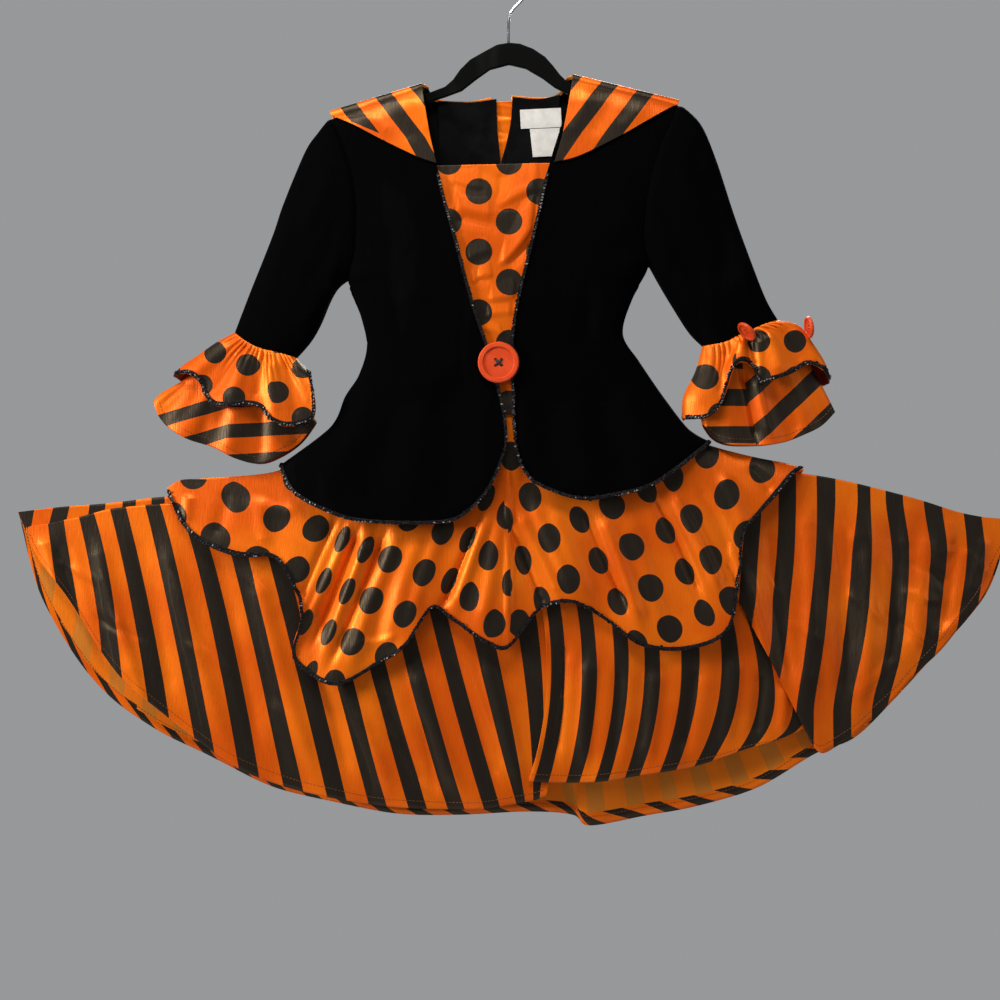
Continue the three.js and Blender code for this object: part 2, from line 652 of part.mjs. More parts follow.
// Spotted overskirt with a scalloped hem, front and back joined along the top at both sides
const OVER_FRONT = table(
  "topX topD midX midD hemX hemD topOut hemOut",
  [-337, 528, -337, 529, -336, 531, 0.3, 1],
  [-323, 520, -325, 537, -326, 555, 0.3, 6],
  [-293, 519, -302, 548, -307, 579, 0.3, 11],
  [-259, 516, -263, 555, -267, 596, 0.3, 14],
  [-222, 509, -227, 558, -232, 597, 0.4, 13],
  [-199, 488, -202, 558, -215, 616, 1, 17],
  [-169, 468, -181, 575, -202, 651, 2, 19],
  [-159, 459, -167, 600, -211, 690, 4.5, 14],
  [-152, 452, -157, 602, -199, 709, 5.2, 16],
  [-144, 449, -144, 600, -167, 723, 6.8, 21],
  [-131, 446, -127, 595, -128, 704, 9, 15],
  [-113, 445, -105, 585, -99, 685, 10, 22],
  [-95, 445, -80, 570, -74, 648, 10, 18],
  [-75, 445, -57, 570, -55, 657, 10, 15],
  [-53, 445, -30, 580, -19, 681, 10, 22],
  [-29, 445, -3, 580, 3, 686, 10, 19],
  [-7, 445, 21, 570, 33, 650, 10, 15],
  [19, 445, 53, 565, 64, 641, 10, 22],
  [43, 445, 85, 575, 101, 660, 10, 16],
  [67, 445, 115, 580, 135, 684, 10, 22],
  [89, 446, 143, 585, 179, 688, 10, 17],
  [109, 447, 175, 580, 219, 670, 10, 22],
  [125, 449, 190, 560, 231, 620, 10, 18],
  [138, 455, 200, 532, 236, 574, 8.6, 19],
  [151, 464, 213, 514, 252, 554, 6.5, 14],
  [185, 482, 233, 505, 272, 533, 1.2, 12],
  [223, 492, 255, 504, 286, 517, 0.4, 8],
  [265, 501, 282, 505, 298, 508, 0.3, 1],
);
const OVER_BACK = table(
  "topX topD midX midD hemX hemD topOut hemOut",
  [-337, 528, -337, 529, -336, 531, 0.3, 1],
  [-315, 520, -315, 545, -319, 570, 0.3, 9],
  [-265, 516, -269, 555, -277, 596, 0.3, 14],
  [-215, 511, -225, 567, -233, 620, 0.6, 17],
  [-160, 461, -173, 570, -193, 670, 3, 15],
  [-143, 448, -139, 585, -150, 702, 8.2, 19],
  [-105, 446, -100, 580, -95, 680, 8.2, 15],
  [-70, 445, -57, 570, -55, 652, 8.2, 19],
  [-30, 445, -5, 580, 0, 685, 8.2, 15],
  [10, 445, 43, 570, 55, 652, 8.2, 19],
  [50, 445, 90, 580, 100, 672, 8.2, 15],
  [90, 446, 135, 585, 150, 695, 8.2, 19],
  [127, 450, 185, 575, 200, 665, 7, 15],
  [159, 467, 213, 545, 240, 610, 3, 17],
  [205, 486, 245, 520, 265, 570, 0.6, 14],
  [250, 498, 273, 510, 287, 530, 0.3, 8],
  [278, 503, 289, 506, 299, 510, 0.3, 1],
);
const overFront = ribbed(OVER_FRONT);
const overBack = ribbed(OVER_BACK);
add("overskirt_front", sheet(overFront, even(54), even(5)), ORANGE, "satin");
add("overskirt_back", sheet(overBack, even(24), even(5), -1), ORANGE, "satin");

// Sequin braid along the front edges and every spotted or velvet hem
const ON_CLOTH = CLOTH + LAYER;
const stretch = (stops, from, to) => stops.map((t) => mix(from, to, t));
const braid = (name, face, which, across, along, lift, side = 1) =>
  add(name, sheet(beside(face, which, lift), across, along, side, TRIM_THICK), SEQUIN, "hard");
const NECK_AT = { left: 0.235, right: 0.262 };
const HEM_CORNER = 0.978;
const leftEdge = stretch(even(15), NECK_AT.left, HEM_CORNER);
const rightEdge = stretch(even(15), NECK_AT.right, HEM_CORNER);
braid("braid_edge_left", leftFront, "right", even(1), leftEdge, ON_CLOTH);
braid("braid_edge_right", rightFront, "left", even(1), rightEdge, ON_CLOTH);
braid("braid_hem_left", leftFront, "hem", eased(20), even(1), ON_CLOTH);
braid("braid_hem_right", rightFront, "hem", eased(20), even(1), ON_CLOTH);
braid("braid_back_left", onBody(LEFT_BACK, BACK_DEPTH), "hem", eased(18), even(1), ON_CLOTH, -1);
braid("braid_back_right", onBody(RIGHT_BACK, BACK_DEPTH), "hem", eased(18), even(1), ON_CLOTH, -1);
braid("braid_overskirt_front", overFront, "hem", even(54), even(1), ON_CLOTH);
braid("braid_overskirt_back", overBack, "hem", even(24), even(1), ON_CLOTH, -1);
const INSIDE_FOLDS = eased(14).slice(1, -1);
const cuffBraid = (name, cut, side) =>
  braid(name, ruffle(cut, DOTS_SHAPE), "hem", INSIDE_FOLDS, even(1), 2 * LAYER, side);
cuffBraid("braid_cuff_left", LEFT_DOTS, 1);
cuffBraid("braid_cuff_left_back", LEFT_DOTS_BACK, -1);
cuffBraid("braid_cuff_right", RIGHT_DOTS, 1);
cuffBraid("braid_cuff_right_back", RIGHT_DOTS_BACK, -1);

// Round buttons with a raised rim and four thread holes
function button(radius, thick, hole, sides) {
  const rim = radius * 0.78;
  const sunk = thick * 0.62;
  const profile = [
    [0, 0],
    [radius * 0.86, 0],
    [radius, thick * 0.35],
    [radius, thick * 0.7],
    [radius * 0.94, thick],
    [rim, thick],
    [rim * 0.94, sunk],
    [0, sunk],
  ].map(([x, y]) => new THREE.Vector2(x, y));
  const disc = solidOf(new THREE.LatheGeometry(profile, sides));
  const bores = [45, 135, 225, 315].map((angle) => {
    const bore = new THREE.CylinderGeometry(hole, hole, thick * 3, 8);
    const away = radius * 0.2;
    const turn = THREE.MathUtils.degToRad(angle);
    return solidOf(bore.translate(away * Math.cos(turn), 0, away * Math.sin(turn)));
  });
  return geometryOf(bores.reduce((left, bore) => left.subtract(bore), disc));
}

function solidOf(geometry) {
  const bare = new THREE.BufferGeometry();
  bare.setAttribute("position", geometry.getAttribute("position"));
  bare.setIndex(geometry.index);
  const merged = mergeVertices(bare, 1e-4);
  return new wasm.Manifold(
    new wasm.Mesh({
      numProp: 3,
      vertProperties: merged.attributes.position.array,
      triVerts: new Uint32Array(merged.index.array),
    }),
  );
}

function geometryOf(solid) {
  const mesh = solid.getMesh();
  const geometry = new THREE.BufferGeometry();
  geometry.setAttribute("position", new THREE.BufferAttribute(new Float32Array(mesh.vertProperties), 3));
  geometry.setIndex([...mesh.triVerts]);
  geometry.computeVertexNormals();
  return geometry;
}

// The big button closes the two fronts over the braid
const BUTTON_AT = table("x down", [-6.5, 404])[0];
const buttonTop = BUTTON_AT.down - BUTTON_RADIUS;
const buttonOut = atLevel(FRONT_DEPTH, "out", buttonTop) + ON_CLOTH + TRIM_THICK + SEAM;
const bigButton = button(BUTTON_RADIUS, BUTTON_THICK, 1.6, 32).rotateX(Math.PI);
add("button_front", bigButton.translate(BUTTON_AT.x, -buttonOut, -BUTTON_AT.down), BUTTON_ORANGE, "hard");

// Two small buttons stand on edge on the right cuff's seam
function cuffButton(name, at, colour) {
  const disc = button(CUFF_BUTTON_RADIUS, CUFF_BUTTON_THICK, 1.1, 18);
  disc.translate(0, -CUFF_BUTTON_THICK / 2, 0).rotateX(Math.PI);
  disc.rotateX(THREE.MathUtils.degToRad(at.lean)).rotateY(THREE.MathUtils.degToRad(at.turn));
  add(name, disc.translate(at.x, -at.out, -at.down), colour, "hard");
}
const CUFF_BUTTONS = table(
  "x down out lean turn",
  [238, 374, 26.2, 72, 45],
  [301.3, 368.8, 15.2, 82, 82],
);
cuffButton("cuff_button_inner", CUFF_BUTTONS[0], BUTTON_ORANGE);
cuffButton("cuff_button_outer", CUFF_BUTTONS[1], BUTTON_ORANGE);

// Flocked hanger: one flat loop of arch, arms and bar, with a soft edge
const HANGER_OUTER = table(
  "x down",
  [4, 83], [-8, 85], [-21, 92], [-35, 100], [-45, 110], [-52, 120], [-60, 127],
  [-77, 133.5], [-120, 149], [-153, 160], [-161, 167], [-159, 177], [-149, 190],
  [-129, 216], [-115, 227], [-95, 230], [0, 227], [95, 223], [117, 220],
  [135, 206], [157, 180], [166, 167], [166, 157], [159, 150], [125, 142],
  [85, 132], [63, 123], [55, 115], [48, 106], [40, 97], [28, 89], [15, 84],
);
const HANGER_GAP = table(
  "x down",
  [4, 105], [-15, 110], [-29, 120], [-43, 131], [-59, 137], [-77, 143], [-115, 157],
  [-143, 169], [-145, 176], [-135, 190], [-117, 212], [-107, 220], [-93, 222],
  [0, 219], [91, 215], [107, 212], [123, 198], [145, 174], [150, 164],
  [135, 155], [95, 146], [62, 134], [50, 128], [38, 119], [21, 109],
);
const FLOCK_EDGE = 1.2;
function hangerBody() {
  const flat = (rows) => rows.map((p) => new THREE.Vector2(p.x, -p.down));
  const shape = new THREE.Shape(flat(HANGER_OUTER));
  shape.holes.push(new THREE.Path(flat(HANGER_GAP)));
  const loop = new THREE.ExtrudeGeometry(shape, {
    depth: HANGER_THICK - 2 * FLOCK_EDGE,
    bevelEnabled: true,
    bevelThickness: FLOCK_EDGE,
    bevelSize: FLOCK_EDGE,
    bevelOffset: -FLOCK_EDGE,
    bevelSegments: 1,
  });
  return loop.translate(0, 0, -HANGER_THICK / 2 + FLOCK_EDGE).rotateX(Math.PI / 2);
}
add("hanger_body", hangerBody(), VELVET, "velvet");

// Wire hook: a stem, a slant and a round crook open to the left
const STEM_FOOT = table("x down", [3.5, 82.6])[0];
const SLANT = table("x down", [4, 58], [6, 52], [15, 42]);
const CROOK = { from: -34, to: 205, steps: 12 };
function hook() {
  const points = [STEM_FOOT, ...SLANT].map((p) => new THREE.Vector3(p.x, 0, -p.down));
  const centre = -(HOOK_RADIUS - WIRE / 2);
  for (let i = 0; i <= CROOK.steps; i++) {
    const turn = THREE.MathUtils.degToRad(mix(CROOK.from, CROOK.to, i / CROOK.steps));
    points.push(new THREE.Vector3(HOOK_RADIUS * Math.cos(turn), 0, centre + HOOK_RADIUS * Math.sin(turn)));
  }
  const path = new THREE.CatmullRomCurve3(points);
  const round = new THREE.Shape().absarc(0, 0, WIRE / 2, 0, 2 * Math.PI, false);
  return new THREE.ExtrudeGeometry(round, {
    steps: 36,
    curveSegments: 5,
    bevelEnabled: false,
    extrudePath: path,
  });
}
add("hanger_hook", hook(), WIRE_SILVER, "wire");

export default group;
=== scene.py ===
# %% [markdown]
# # A girl's witch costume on its hanger
# The costume is sewn from black velvet and printed orange satin: a jacket whose fronts curve open over
# a spotted bodice, a striped collar, two-layer ruffled cuffs, a scalloped overskirt and a circle skirt.
# Cloth is a thin sheet, so every piece here is one sheet with its own cut, folds and thickness.
# All sizes are in mm until a mesh is made: x runs across, down is measured from the inside top of the
# hook, and out is how far a point stands out from the hanger's middle plane, to the front or the back.

# %% The fixed frame and the tools
import math
import bpy
import numpy as np
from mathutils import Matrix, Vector
from mathutils.bvhtree import BVHTree


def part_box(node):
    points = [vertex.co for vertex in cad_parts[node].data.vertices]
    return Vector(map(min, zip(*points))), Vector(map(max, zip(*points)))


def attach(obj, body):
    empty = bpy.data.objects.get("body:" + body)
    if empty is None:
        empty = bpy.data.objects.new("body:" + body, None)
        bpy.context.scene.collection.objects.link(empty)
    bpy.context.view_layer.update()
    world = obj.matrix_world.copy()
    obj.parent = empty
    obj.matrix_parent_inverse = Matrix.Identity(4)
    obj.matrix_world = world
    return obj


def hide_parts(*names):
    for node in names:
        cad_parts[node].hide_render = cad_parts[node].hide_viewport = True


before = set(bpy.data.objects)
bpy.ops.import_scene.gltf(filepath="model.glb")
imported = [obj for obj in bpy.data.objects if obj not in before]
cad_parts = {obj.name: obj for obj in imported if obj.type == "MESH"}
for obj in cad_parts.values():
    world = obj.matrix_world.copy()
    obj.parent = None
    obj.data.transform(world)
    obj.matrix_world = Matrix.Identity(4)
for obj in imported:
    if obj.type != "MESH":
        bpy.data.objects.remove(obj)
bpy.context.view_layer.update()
scene = bpy.context.scene
MM = 0.001
CLOTH = 1.0  # how thick a sheet is
LAYER = 0.6  # the room between two sheets that lie on each other
WALL = 1.2  # how thick the fixed solids' walls are
MAP_STEP = 40.0  # mm for one step of a map along a stripe, or on a piece without a print
print("solids in the frame:", len(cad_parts))

# %% [markdown]
# ## Camera, floor and light
# The costume is seen straight from the front, 1 m across the picture. A long lens from 1.7 m keeps the
# shape calm. Large soft lamps suit satin: its threads draw each lamp out into a broad soft gloss.

# %% Camera
VIEW_WIDE = 1000
VIEW_AT = (-5, -540)
LENS = 60
SENSOR = 36
lens = bpy.data.cameras.new("camera")
lens.lens = LENS
lens.sensor_width = SENSOR
camera = bpy.data.objects.new("camera", lens)
scene.collection.objects.link(camera)
camera_far = VIEW_WIDE * LENS / SENSOR
camera.location = (VIEW_AT[0] * MM, -camera_far * MM, VIEW_AT[1] * MM)
camera.rotation_euler = (math.pi / 2, 0, 0)
scene.camera = camera
print("camera stands off", round(camera_far), "mm")


# %% Lamps
def lamp(name, at, aim, size, power, tint):
    light = bpy.data.lights.new(name, "AREA")
    light.shape = "RECTANGLE"
    light.size, light.size_y = size
    light.energy = power
    light.color = tint
    piece = bpy.data.objects.new(name, light)
    scene.collection.objects.link(piece)
    piece.location = at
    piece.rotation_euler = (Vector(aim) - Vector(at)).to_track_quat("-Z", "Y").to_euler()


WARM = (1, 0.96, 0.9)
COOL = (0.93, 0.96, 1)
lamp("lamp_top", (-0.25, -0.95, 0.85), (0, 0, -0.5), (0.9, 0.4), 24, WARM)
lamp("lamp_left", (-1.6, -0.75, -0.1), (0, 0, -0.55), (0.4, 0.8), 34, WARM)
lamp("lamp_right", (1.7, -0.9, -0.2), (0, 0, -0.55), (0.5, 1.0), 3, COOL)
lamp("lamp_back", (0.3, 1.5, 0.7), (0, 0, -0.5), (1.4, 0.9), 34, COOL)
print("lamps:", len(bpy.data.lights))

# %% Sky
SKY_LIGHTS = 0.26  # the sky's strength as a light
SKY_SEEN = 0.50  # and where the camera looks at it
world = bpy.data.worlds.new("studio")
scene.world = world
world.use_nodes = True
sky = world.node_tree.nodes["Background"]
sky.inputs["Color"].default_value = (0.62, 0.63, 0.65, 1)
seen = world.node_tree.nodes.new("ShaderNodeLightPath").outputs["Is Camera Ray"]
dimmed = world.node_tree.nodes.new("ShaderNodeMapRange")
dimmed.inputs["To Min"].default_value = SKY_LIGHTS
dimmed.inputs["To Max"].default_value = SKY_SEEN
world.node_tree.links.new(seen, dimmed.inputs["Value"])
world.node_tree.links.new(dimmed.outputs["Result"], sky.inputs["Strength"])
scene.view_settings.view_transform = "Standard"
print("the sky's strength:", SKY_LIGHTS, "as a light,", SKY_SEEN, "as seen")

# %% Floor
FLOOR_AT = -1.65
bpy.ops.mesh.primitive_plane_add(size=4, location=(0, 0, FLOOR_AT))
floor = bpy.context.active_object
floor.name = "floor"
print("floor lies", round(-FLOOR_AT, 2), "m below the hook")

# %% [markdown]
# ## Materials
# Satin: a smooth weave, so a low roughness that changes from thread to thread, a soft sheen and a print.
# The print is worked out from a piece's own map. On the map of a striped piece, across counts the
# stripes. On a spotted one each whole step across and down is the middle of one spot.


# %% Node helpers
class Shader:
    """A small wrapper that adds nodes to one material and links them in one line"""

    def __init__(self, name):
        self.material = bpy.data.materials.new(name)
        self.material.use_nodes = True
        self.tree = self.material.node_tree
        self.skin = self.tree.nodes["Principled BSDF"]

    def node(self, kind, **settings):
        made = self.tree.nodes.new("ShaderNode" + kind)
        for key, value in settings.items():
            setattr(made, key, value)
        return made

    def link(self, source, target):
        self.tree.links.new(source, target)

    def feed(self, target, value):
        if isinstance(value, (int, float, tuple)):
            target.default_value = value
        else:
            self.link(value, target)

    def math(self, operation, a, b=0.0):
        made = self.node("Math", operation=operation)
        self.feed(made.inputs[0], a)
        self.feed(made.inputs[1], b)
        return made.outputs[0]

    def step(self, value, low, high, out_low=0.0, out_high=1.0):
        made = self.node("MapRange", interpolation_type="SMOOTHSTEP")
        self.feed(made.inputs["Value"], value)
        for key, number in (("From Min", low), ("From Max", high), ("To Min", out_low), ("To Max", out_high)):
            made.inputs[key].default_value = number
        return made.outputs["Result"]

    def blend(self, share, a, b):
        made = self.node("Mix", data_type="RGBA")
        self.feed(made.inputs[0], share)
        self.feed(made.inputs[6], a)
        self.feed(made.inputs[7], b)
        return made.outputs[2]

    def noise(self, scale, stretch=(1, 1, 1), detail=3.0):
        place = self.node("TexCoord").outputs["Object"]
        size = self.node("Mapping")
        self.link(place, size.inputs["Vector"])
        size.inputs["Scale"].default_value = stretch
        made = self.node("TexNoise")
        self.link(size.outputs[0], made.inputs["Vector"])
        made.inputs["Scale"].default_value = scale
        made.inputs["Detail"].default_value = detail
        return made.outputs["Fac"]

    def print_map(self):
        parts = self.node("SeparateXYZ")
        self.link(self.node("UVMap", uv_map="cloth").outputs[0], parts.inputs[0])
        return parts.outputs[0], parts.outputs[1]

    def bump(self, height, depth):
        made = self.node("Bump")
        made.inputs["Distance"].default_value = depth
        made.inputs["Strength"].default_value = 1
        self.link(height, made.inputs["Height"])
        self.link(made.outputs[0], self.skin.inputs["Normal"])

    def finish(self, **values):
        for key, value in values.items():
            self.skin.inputs[key.replace("_", " ")].default_value = value
        return self.material


# %% Printed satin
BLACK_SHARE = 0.46
SPOT = 0.305
ORANGE = (0.82, 0.160, 0.003, 1)
ORANGE_DEEP = (0.64, 0.085, 0.001, 1)
PRINT_BLACK = (0.013, 0.011, 0.010, 1)
INK_EDGE = 0.012


def striped(shader, across, down):
    within = shader.math("FRACT", across)
    opens = shader.step(within, 0, INK_EDGE)
    closes = shader.step(within, BLACK_SHARE, BLACK_SHARE + INK_EDGE, 1, 0)
    return shader.math("MULTIPLY", opens, closes)


def spot_reach(shader, across, down):
    sides = []
    for value in (across, down):
        nearest = shader.math("FRACT", shader.math("ADD", value, 0.5))
        sides.append(shader.math("POWER", shader.math("SUBTRACT", nearest, 0.5), 2))
    return shader.math("SQRT", shader.math("ADD", *sides))


def spotted(shader, across, down):
    return shader.step(spot_reach(shader, across, down), SPOT, SPOT + INK_EDGE, 1, 0)


# %% [markdown]
# Satin's wrong side is duller and the print only shows through it faintly, so it gets its own finish.
# It is seen where the skirt's inside shows. Inside the open cuffs the satin is painted dark red: a painted
# shade.

# %% Satin, its right side and its wrong side
WRONG_SIDE = (0.88, 0.215, 0.010, 1)
SHOWS_THROUGH = (0.58, 0.180, 0.020, 1)
# Dark red painted inside the ruffles: a painted shade, not the satin's own colour
CUFF_PAINTED_SHADE = (0.16, 0.012, 0.004, 1)


def satin(name, print_of=None, dull=0.0, shade=WRONG_SIDE):
    shader = Shader(name)
    across, down = shader.print_map()
    cloudy = shader.noise(9)
    slub = shader.noise(260, (3, 1, 0.35), 2)
    orange = shader.blend(shader.step(cloudy, 0.35, 0.7), ORANGE_DEEP, ORANGE)
    if dull:
        orange = shader.blend(dull, orange, shade)
    colour = orange
    if print_of:
        colour = shader.blend(print_of(shader, across, down), orange, SHOWS_THROUGH if dull else PRINT_BLACK)
    shader.link(colour, shader.skin.inputs["Base Color"])
    shader.link(shader.step(slub, 0.2, 0.8, 0.34, 0.46), shader.skin.inputs["Roughness"])
    weave = shader.noise(900, (1, 1, 0.2), 1)
    shader.bump(shader.math("ADD", shader.math("MULTIPLY", weave, 0.25), slub), 0.0002)
    return shader.finish(Metallic=0.34, Anisotropic=0.4, Specular_IOR_Level=0.4, Sheen_Weight=0.05,
                         Specular_Tint=(1, 0.72, 0.42, 1), Sheen_Tint=(1, 0.6, 0.3, 1))


SATIN_STRIPED = satin("satin_striped", striped)
SATIN_SPOTTED = satin("satin_spotted", spotted)
SATIN_PLAIN = satin("satin_orange")
STRIPED_INSIDE = satin("satin_striped_inside", striped, 0.55)
# The ruffles' inside: mostly painted shade in dark red, over plain orange satin
CUFF_INSIDE_PAINTED_SHADE = satin("satin_cuff_inside_painted_shade", None, 0.85, CUFF_PAINTED_SHADE)
SPOTTED_INSIDE = satin("satin_spotted_inside", spotted, 0.55)
print("satins made")


# %% [markdown]
# Velvet and flock are short fibres that stand up: nearly no gloss, a weak sheen at grazing angles and a nap
# that lies this way and that, rougher in streaks, which are painted a little lighter: a painted sheen. The
# smoother things share one other helper.

# %% Velvet and flock
def napped(name, colour, light, sheen, nap):
    shader = Shader(name)
    # Streaks of rougher nap, painted a little lighter in colour: a painted sheen
    nap_and_painted_sheen = shader.step(shader.noise(11, (1.6, 1, 0.45)), 0.58, 0.72)
    shader.link(shader.blend(nap_and_painted_sheen, colour, light), shader.skin.inputs["Base Color"])
    shader.link(shader.step(nap_and_painted_sheen, 0.3, 0.7, 0.8, 0.95), shader.skin.inputs["Roughness"])
    shader.bump(shader.noise(1500, detail=2), nap)
    return shader.finish(Sheen_Weight=sheen, Sheen_Roughness=0.3, Specular_IOR_Level=0.02)


# The second colour of each is its painted sheen
VELVET = napped("velvet_black", (0.0003, 0.0003, 0.0004, 1), (0.0018, 0.0018, 0.0021, 1), 0.018, 0.0004)
VELVET_WRONG = napped("velvet_wrong_side", (0.003, 0.003, 0.003, 1), (0.005, 0.005, 0.005, 1), 0.02, 0.0001)
FLOCK = napped("hanger_flock", (0.003, 0.003, 0.003, 1), (0.008, 0.008, 0.008, 1), 0.15, 0.0003)


# %% Lining, label, cord, sequins, threads, plastic, wire and floor
def glossy(name, colours, roughness, grain, depth, **more):
    shader = Shader(name)
    cloudy = shader.noise(grain)
    shader.link(shader.blend(shader.step(cloudy, 0.35, 0.65), *colours), shader.skin.inputs["Base Color"])
    shader.link(shader.step(cloudy, 0.3, 0.7, *roughness), shader.skin.inputs["Roughness"])
    shader.bump(shader.noise(grain * 6, detail=2), depth)
    return shader.finish(**more)


LINING = glossy("lining_black", ((0.002, 0.002, 0.0025, 1), (0.004, 0.004, 0.0045, 1)), (0.8, 0.9), 60,
                0.0002, Specular_IOR_Level=0.03)
LABEL = glossy("label_white", ((0.50, 0.49, 0.47, 1), (0.58, 0.57, 0.55, 1)), (0.6, 0.8), 120, 0.00003)
CORD = glossy("braid_cord", ((0.003, 0.0025, 0.0025, 1), (0.008, 0.007, 0.007, 1)), (0.6, 0.8), 500, 0.0003,
              Specular_IOR_Level=0.2)
SEQUIN = glossy("sequin_black", ((0.004, 0.003, 0.004, 1), (0.010, 0.008, 0.009, 1)), (0.16, 0.34), 300, 0.0,
                Specular_IOR_Level=0.22)
THREAD = glossy("thread_dark", ((0.10, 0.03, 0.008, 1), (0.22, 0.06, 0.012, 1)), (0.6, 0.8), 800, 0.0001)
BLACK_THREAD = glossy("thread_black", ((0.006, 0.006, 0.006, 1), (0.012, 0.012, 0.012, 1)), (0.6, 0.8),
                      800, 0.0001)
BUTTON = glossy("button_orange", ((0.54, 0.050, 0.010, 1), (0.61, 0.062, 0.012, 1)), (0.32, 0.42), 90,
                0.00004, Specular_IOR_Level=0.3)
STEEL = glossy("steel_hook", ((0.62, 0.62, 0.63, 1), (0.72, 0.72, 0.73, 1)), (0.15, 0.28), 120, 0.00002,
               Metallic=1.0)
FLOOR = glossy("floor_pale", ((0.66, 0.66, 0.66, 1), (0.72, 0.72, 0.72, 1)), (0.7, 0.9), 3, 0.0)
floor.data.materials.append(FLOOR)

# %% [markdown]
# The hanger and the buttons are hard, so they keep their own solids and only get a finish.

# %% Finish of the hard pieces
HARD_FINISH = {
    "hanger_hook": STEEL,
    "hanger_body": FLOCK,
    "button_front": BUTTON,
    "cuff_button_inner": BUTTON,
    "cuff_button_outer": BUTTON,
}
for node, material in HARD_FINISH.items():
    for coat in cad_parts[node].material_slots:
        coat.material = material
print("hard pieces that keep their own solid:", len(HARD_FINISH))

# %% [markdown]
# ## How a sheet of cloth is cut and folded
# A cut has four edges, each a smooth curve through a few points, and the cloth between them follows all
# four. The folds come after, as soft ridges and troughs along lines: the way cloth really creases.


# %% Curves and cuts
def table(columns, *rows):
    return {name: np.array([row[i] for row in rows], float) for i, name in enumerate(columns.split())}


def fold_lines(*rows):
    """Each row is one fold: where it starts and ends, how wide and high it is and how far it bows"""
    return table("x0 down0 x1 down1 wide high bow", *rows)


def smooth(values, t):
    last = len(values) - 1
    i = np.clip(np.floor(t).astype(int), 0, last - 1)
    f = t - i
    a, b, c, d = (values[np.clip(i + k, 0, last)] for k in (-1, 0, 1, 2))
    rise = (c - a) / 2 * f * (1 - f) ** 2 - (d - b) / 2 * f * f * (1 - f)
    return b * (1 + 2 * f) * (1 - f) ** 2 + c * f * f * (3 - 2 * f) + rise


def edge(points):
    points = np.array(points, float)
    reach = np.concatenate([[0], np.cumsum(np.hypot(*np.diff(points, axis=0).T))])

    def at(t):
        want = np.clip(t, 0, 1) * reach[-1]
        step = np.interp(want, reach, np.arange(len(points)))
        return smooth(points[:, 0], step), smooth(points[:, 1], step)

    return at


def mix(a, b, t):
    return a + (b - a) * t


# %% A cut from four edges
def panel(cut):
    top, hem = cut["top"], cut["hem"]
    top_edge, hem_edge = edge(top), edge(hem)
    left_edge = edge([top[0], *cut.get("left", []), hem[0]])
    right_edge = edge([top[-1], *cut.get("right", []), hem[-1]])

    def at(u, v):
        sides = zip(top_edge(u), hem_edge(u), left_edge(v), right_edge(v), top[0], top[-1], hem[0], hem[-1])
        return tuple(mix(t, h, v) + mix(lf, r, u) - mix(mix(a, b, u), mix(c, d, u), v)
                     for t, h, lf, r, a, b, c, d in sides)

    return at


# %% A cut from flute lines
def ribbed(rows):
    count = len(rows["topX"]) - 1

    def at(u, v):
        t = u * count
        x, down = (
            smooth(rows["top" + k], t) * (1 - v) * (1 - 2 * v)
            + 4 * smooth(rows["mid" + k], t) * v * (1 - v)
            + smooth(rows["hem" + k], t) * v * (2 * v - 1)
            for k in "XD")
        return x, down, mix(smooth(rows["topOut"], t), smooth(rows["hemOut"], t), v)

    return at


def even(count):
    return np.linspace(0, 1, count + 1)


# %% Folds and small waves
def folds(x, down, rows):
    """Soft ridges (high above 0) and troughs (below 0), each along a line that may bow to one side"""
    lift = np.zeros_like(x)
    for x0, d0, x1, d1, wide, high, bow in zip(*rows.values()):
        dx, dd = x1 - x0, d1 - d0
        long = math.hypot(dx, dd)
        along = ((x - x0) * dx + (down - d0) * dd) / long ** 2
        off = ((x - x0) * dd - (down - d0) * dx) / long - bow * 4 * along * (1 - along)
        fade = np.clip(along * 5, 0, 1) * np.clip((1.08 - along) * 4, 0, 1)
        lift += high * fade ** 2 * np.exp(-(off / wide) ** 2)
    return lift


def ripple(x, down, size, high, seed):
    """Small uneven waves, different on every piece: no cloth hangs perfectly smooth"""
    chance = np.random.default_rng(seed)
    lift = np.zeros_like(x)
    for _ in range(5):
        turn, start = chance.uniform(0, math.pi), chance.uniform(0, 6)
        size_now = size * chance.uniform(0.7, 1.6)
        lift += np.sin((x * math.cos(turn) + down * math.sin(turn)) * 2 * math.pi / size_now + start)
    return lift * high / 5


# %% [markdown]
# ## From points to cloth
# A sheet has two faces and a thin edge. The outer face is the inner one moved along its own normals by
# the thickness, so steep folds stay as thick as flat ones.


# %% The mesh of one sheet
PIECES = {}


def place(x, down, out, side):
    return np.stack([x, -side * out, -down], axis=-1)


def leans(grid, wraps):
    if wraps:
        across = np.roll(grid, -1, axis=1) - np.roll(grid, 1, axis=1)
    else:
        across = np.gradient(grid, axis=1)
    normal = np.cross(across, np.gradient(grid, axis=0))
    return normal / np.maximum(np.linalg.norm(normal, axis=2, keepdims=True), 1e-9)


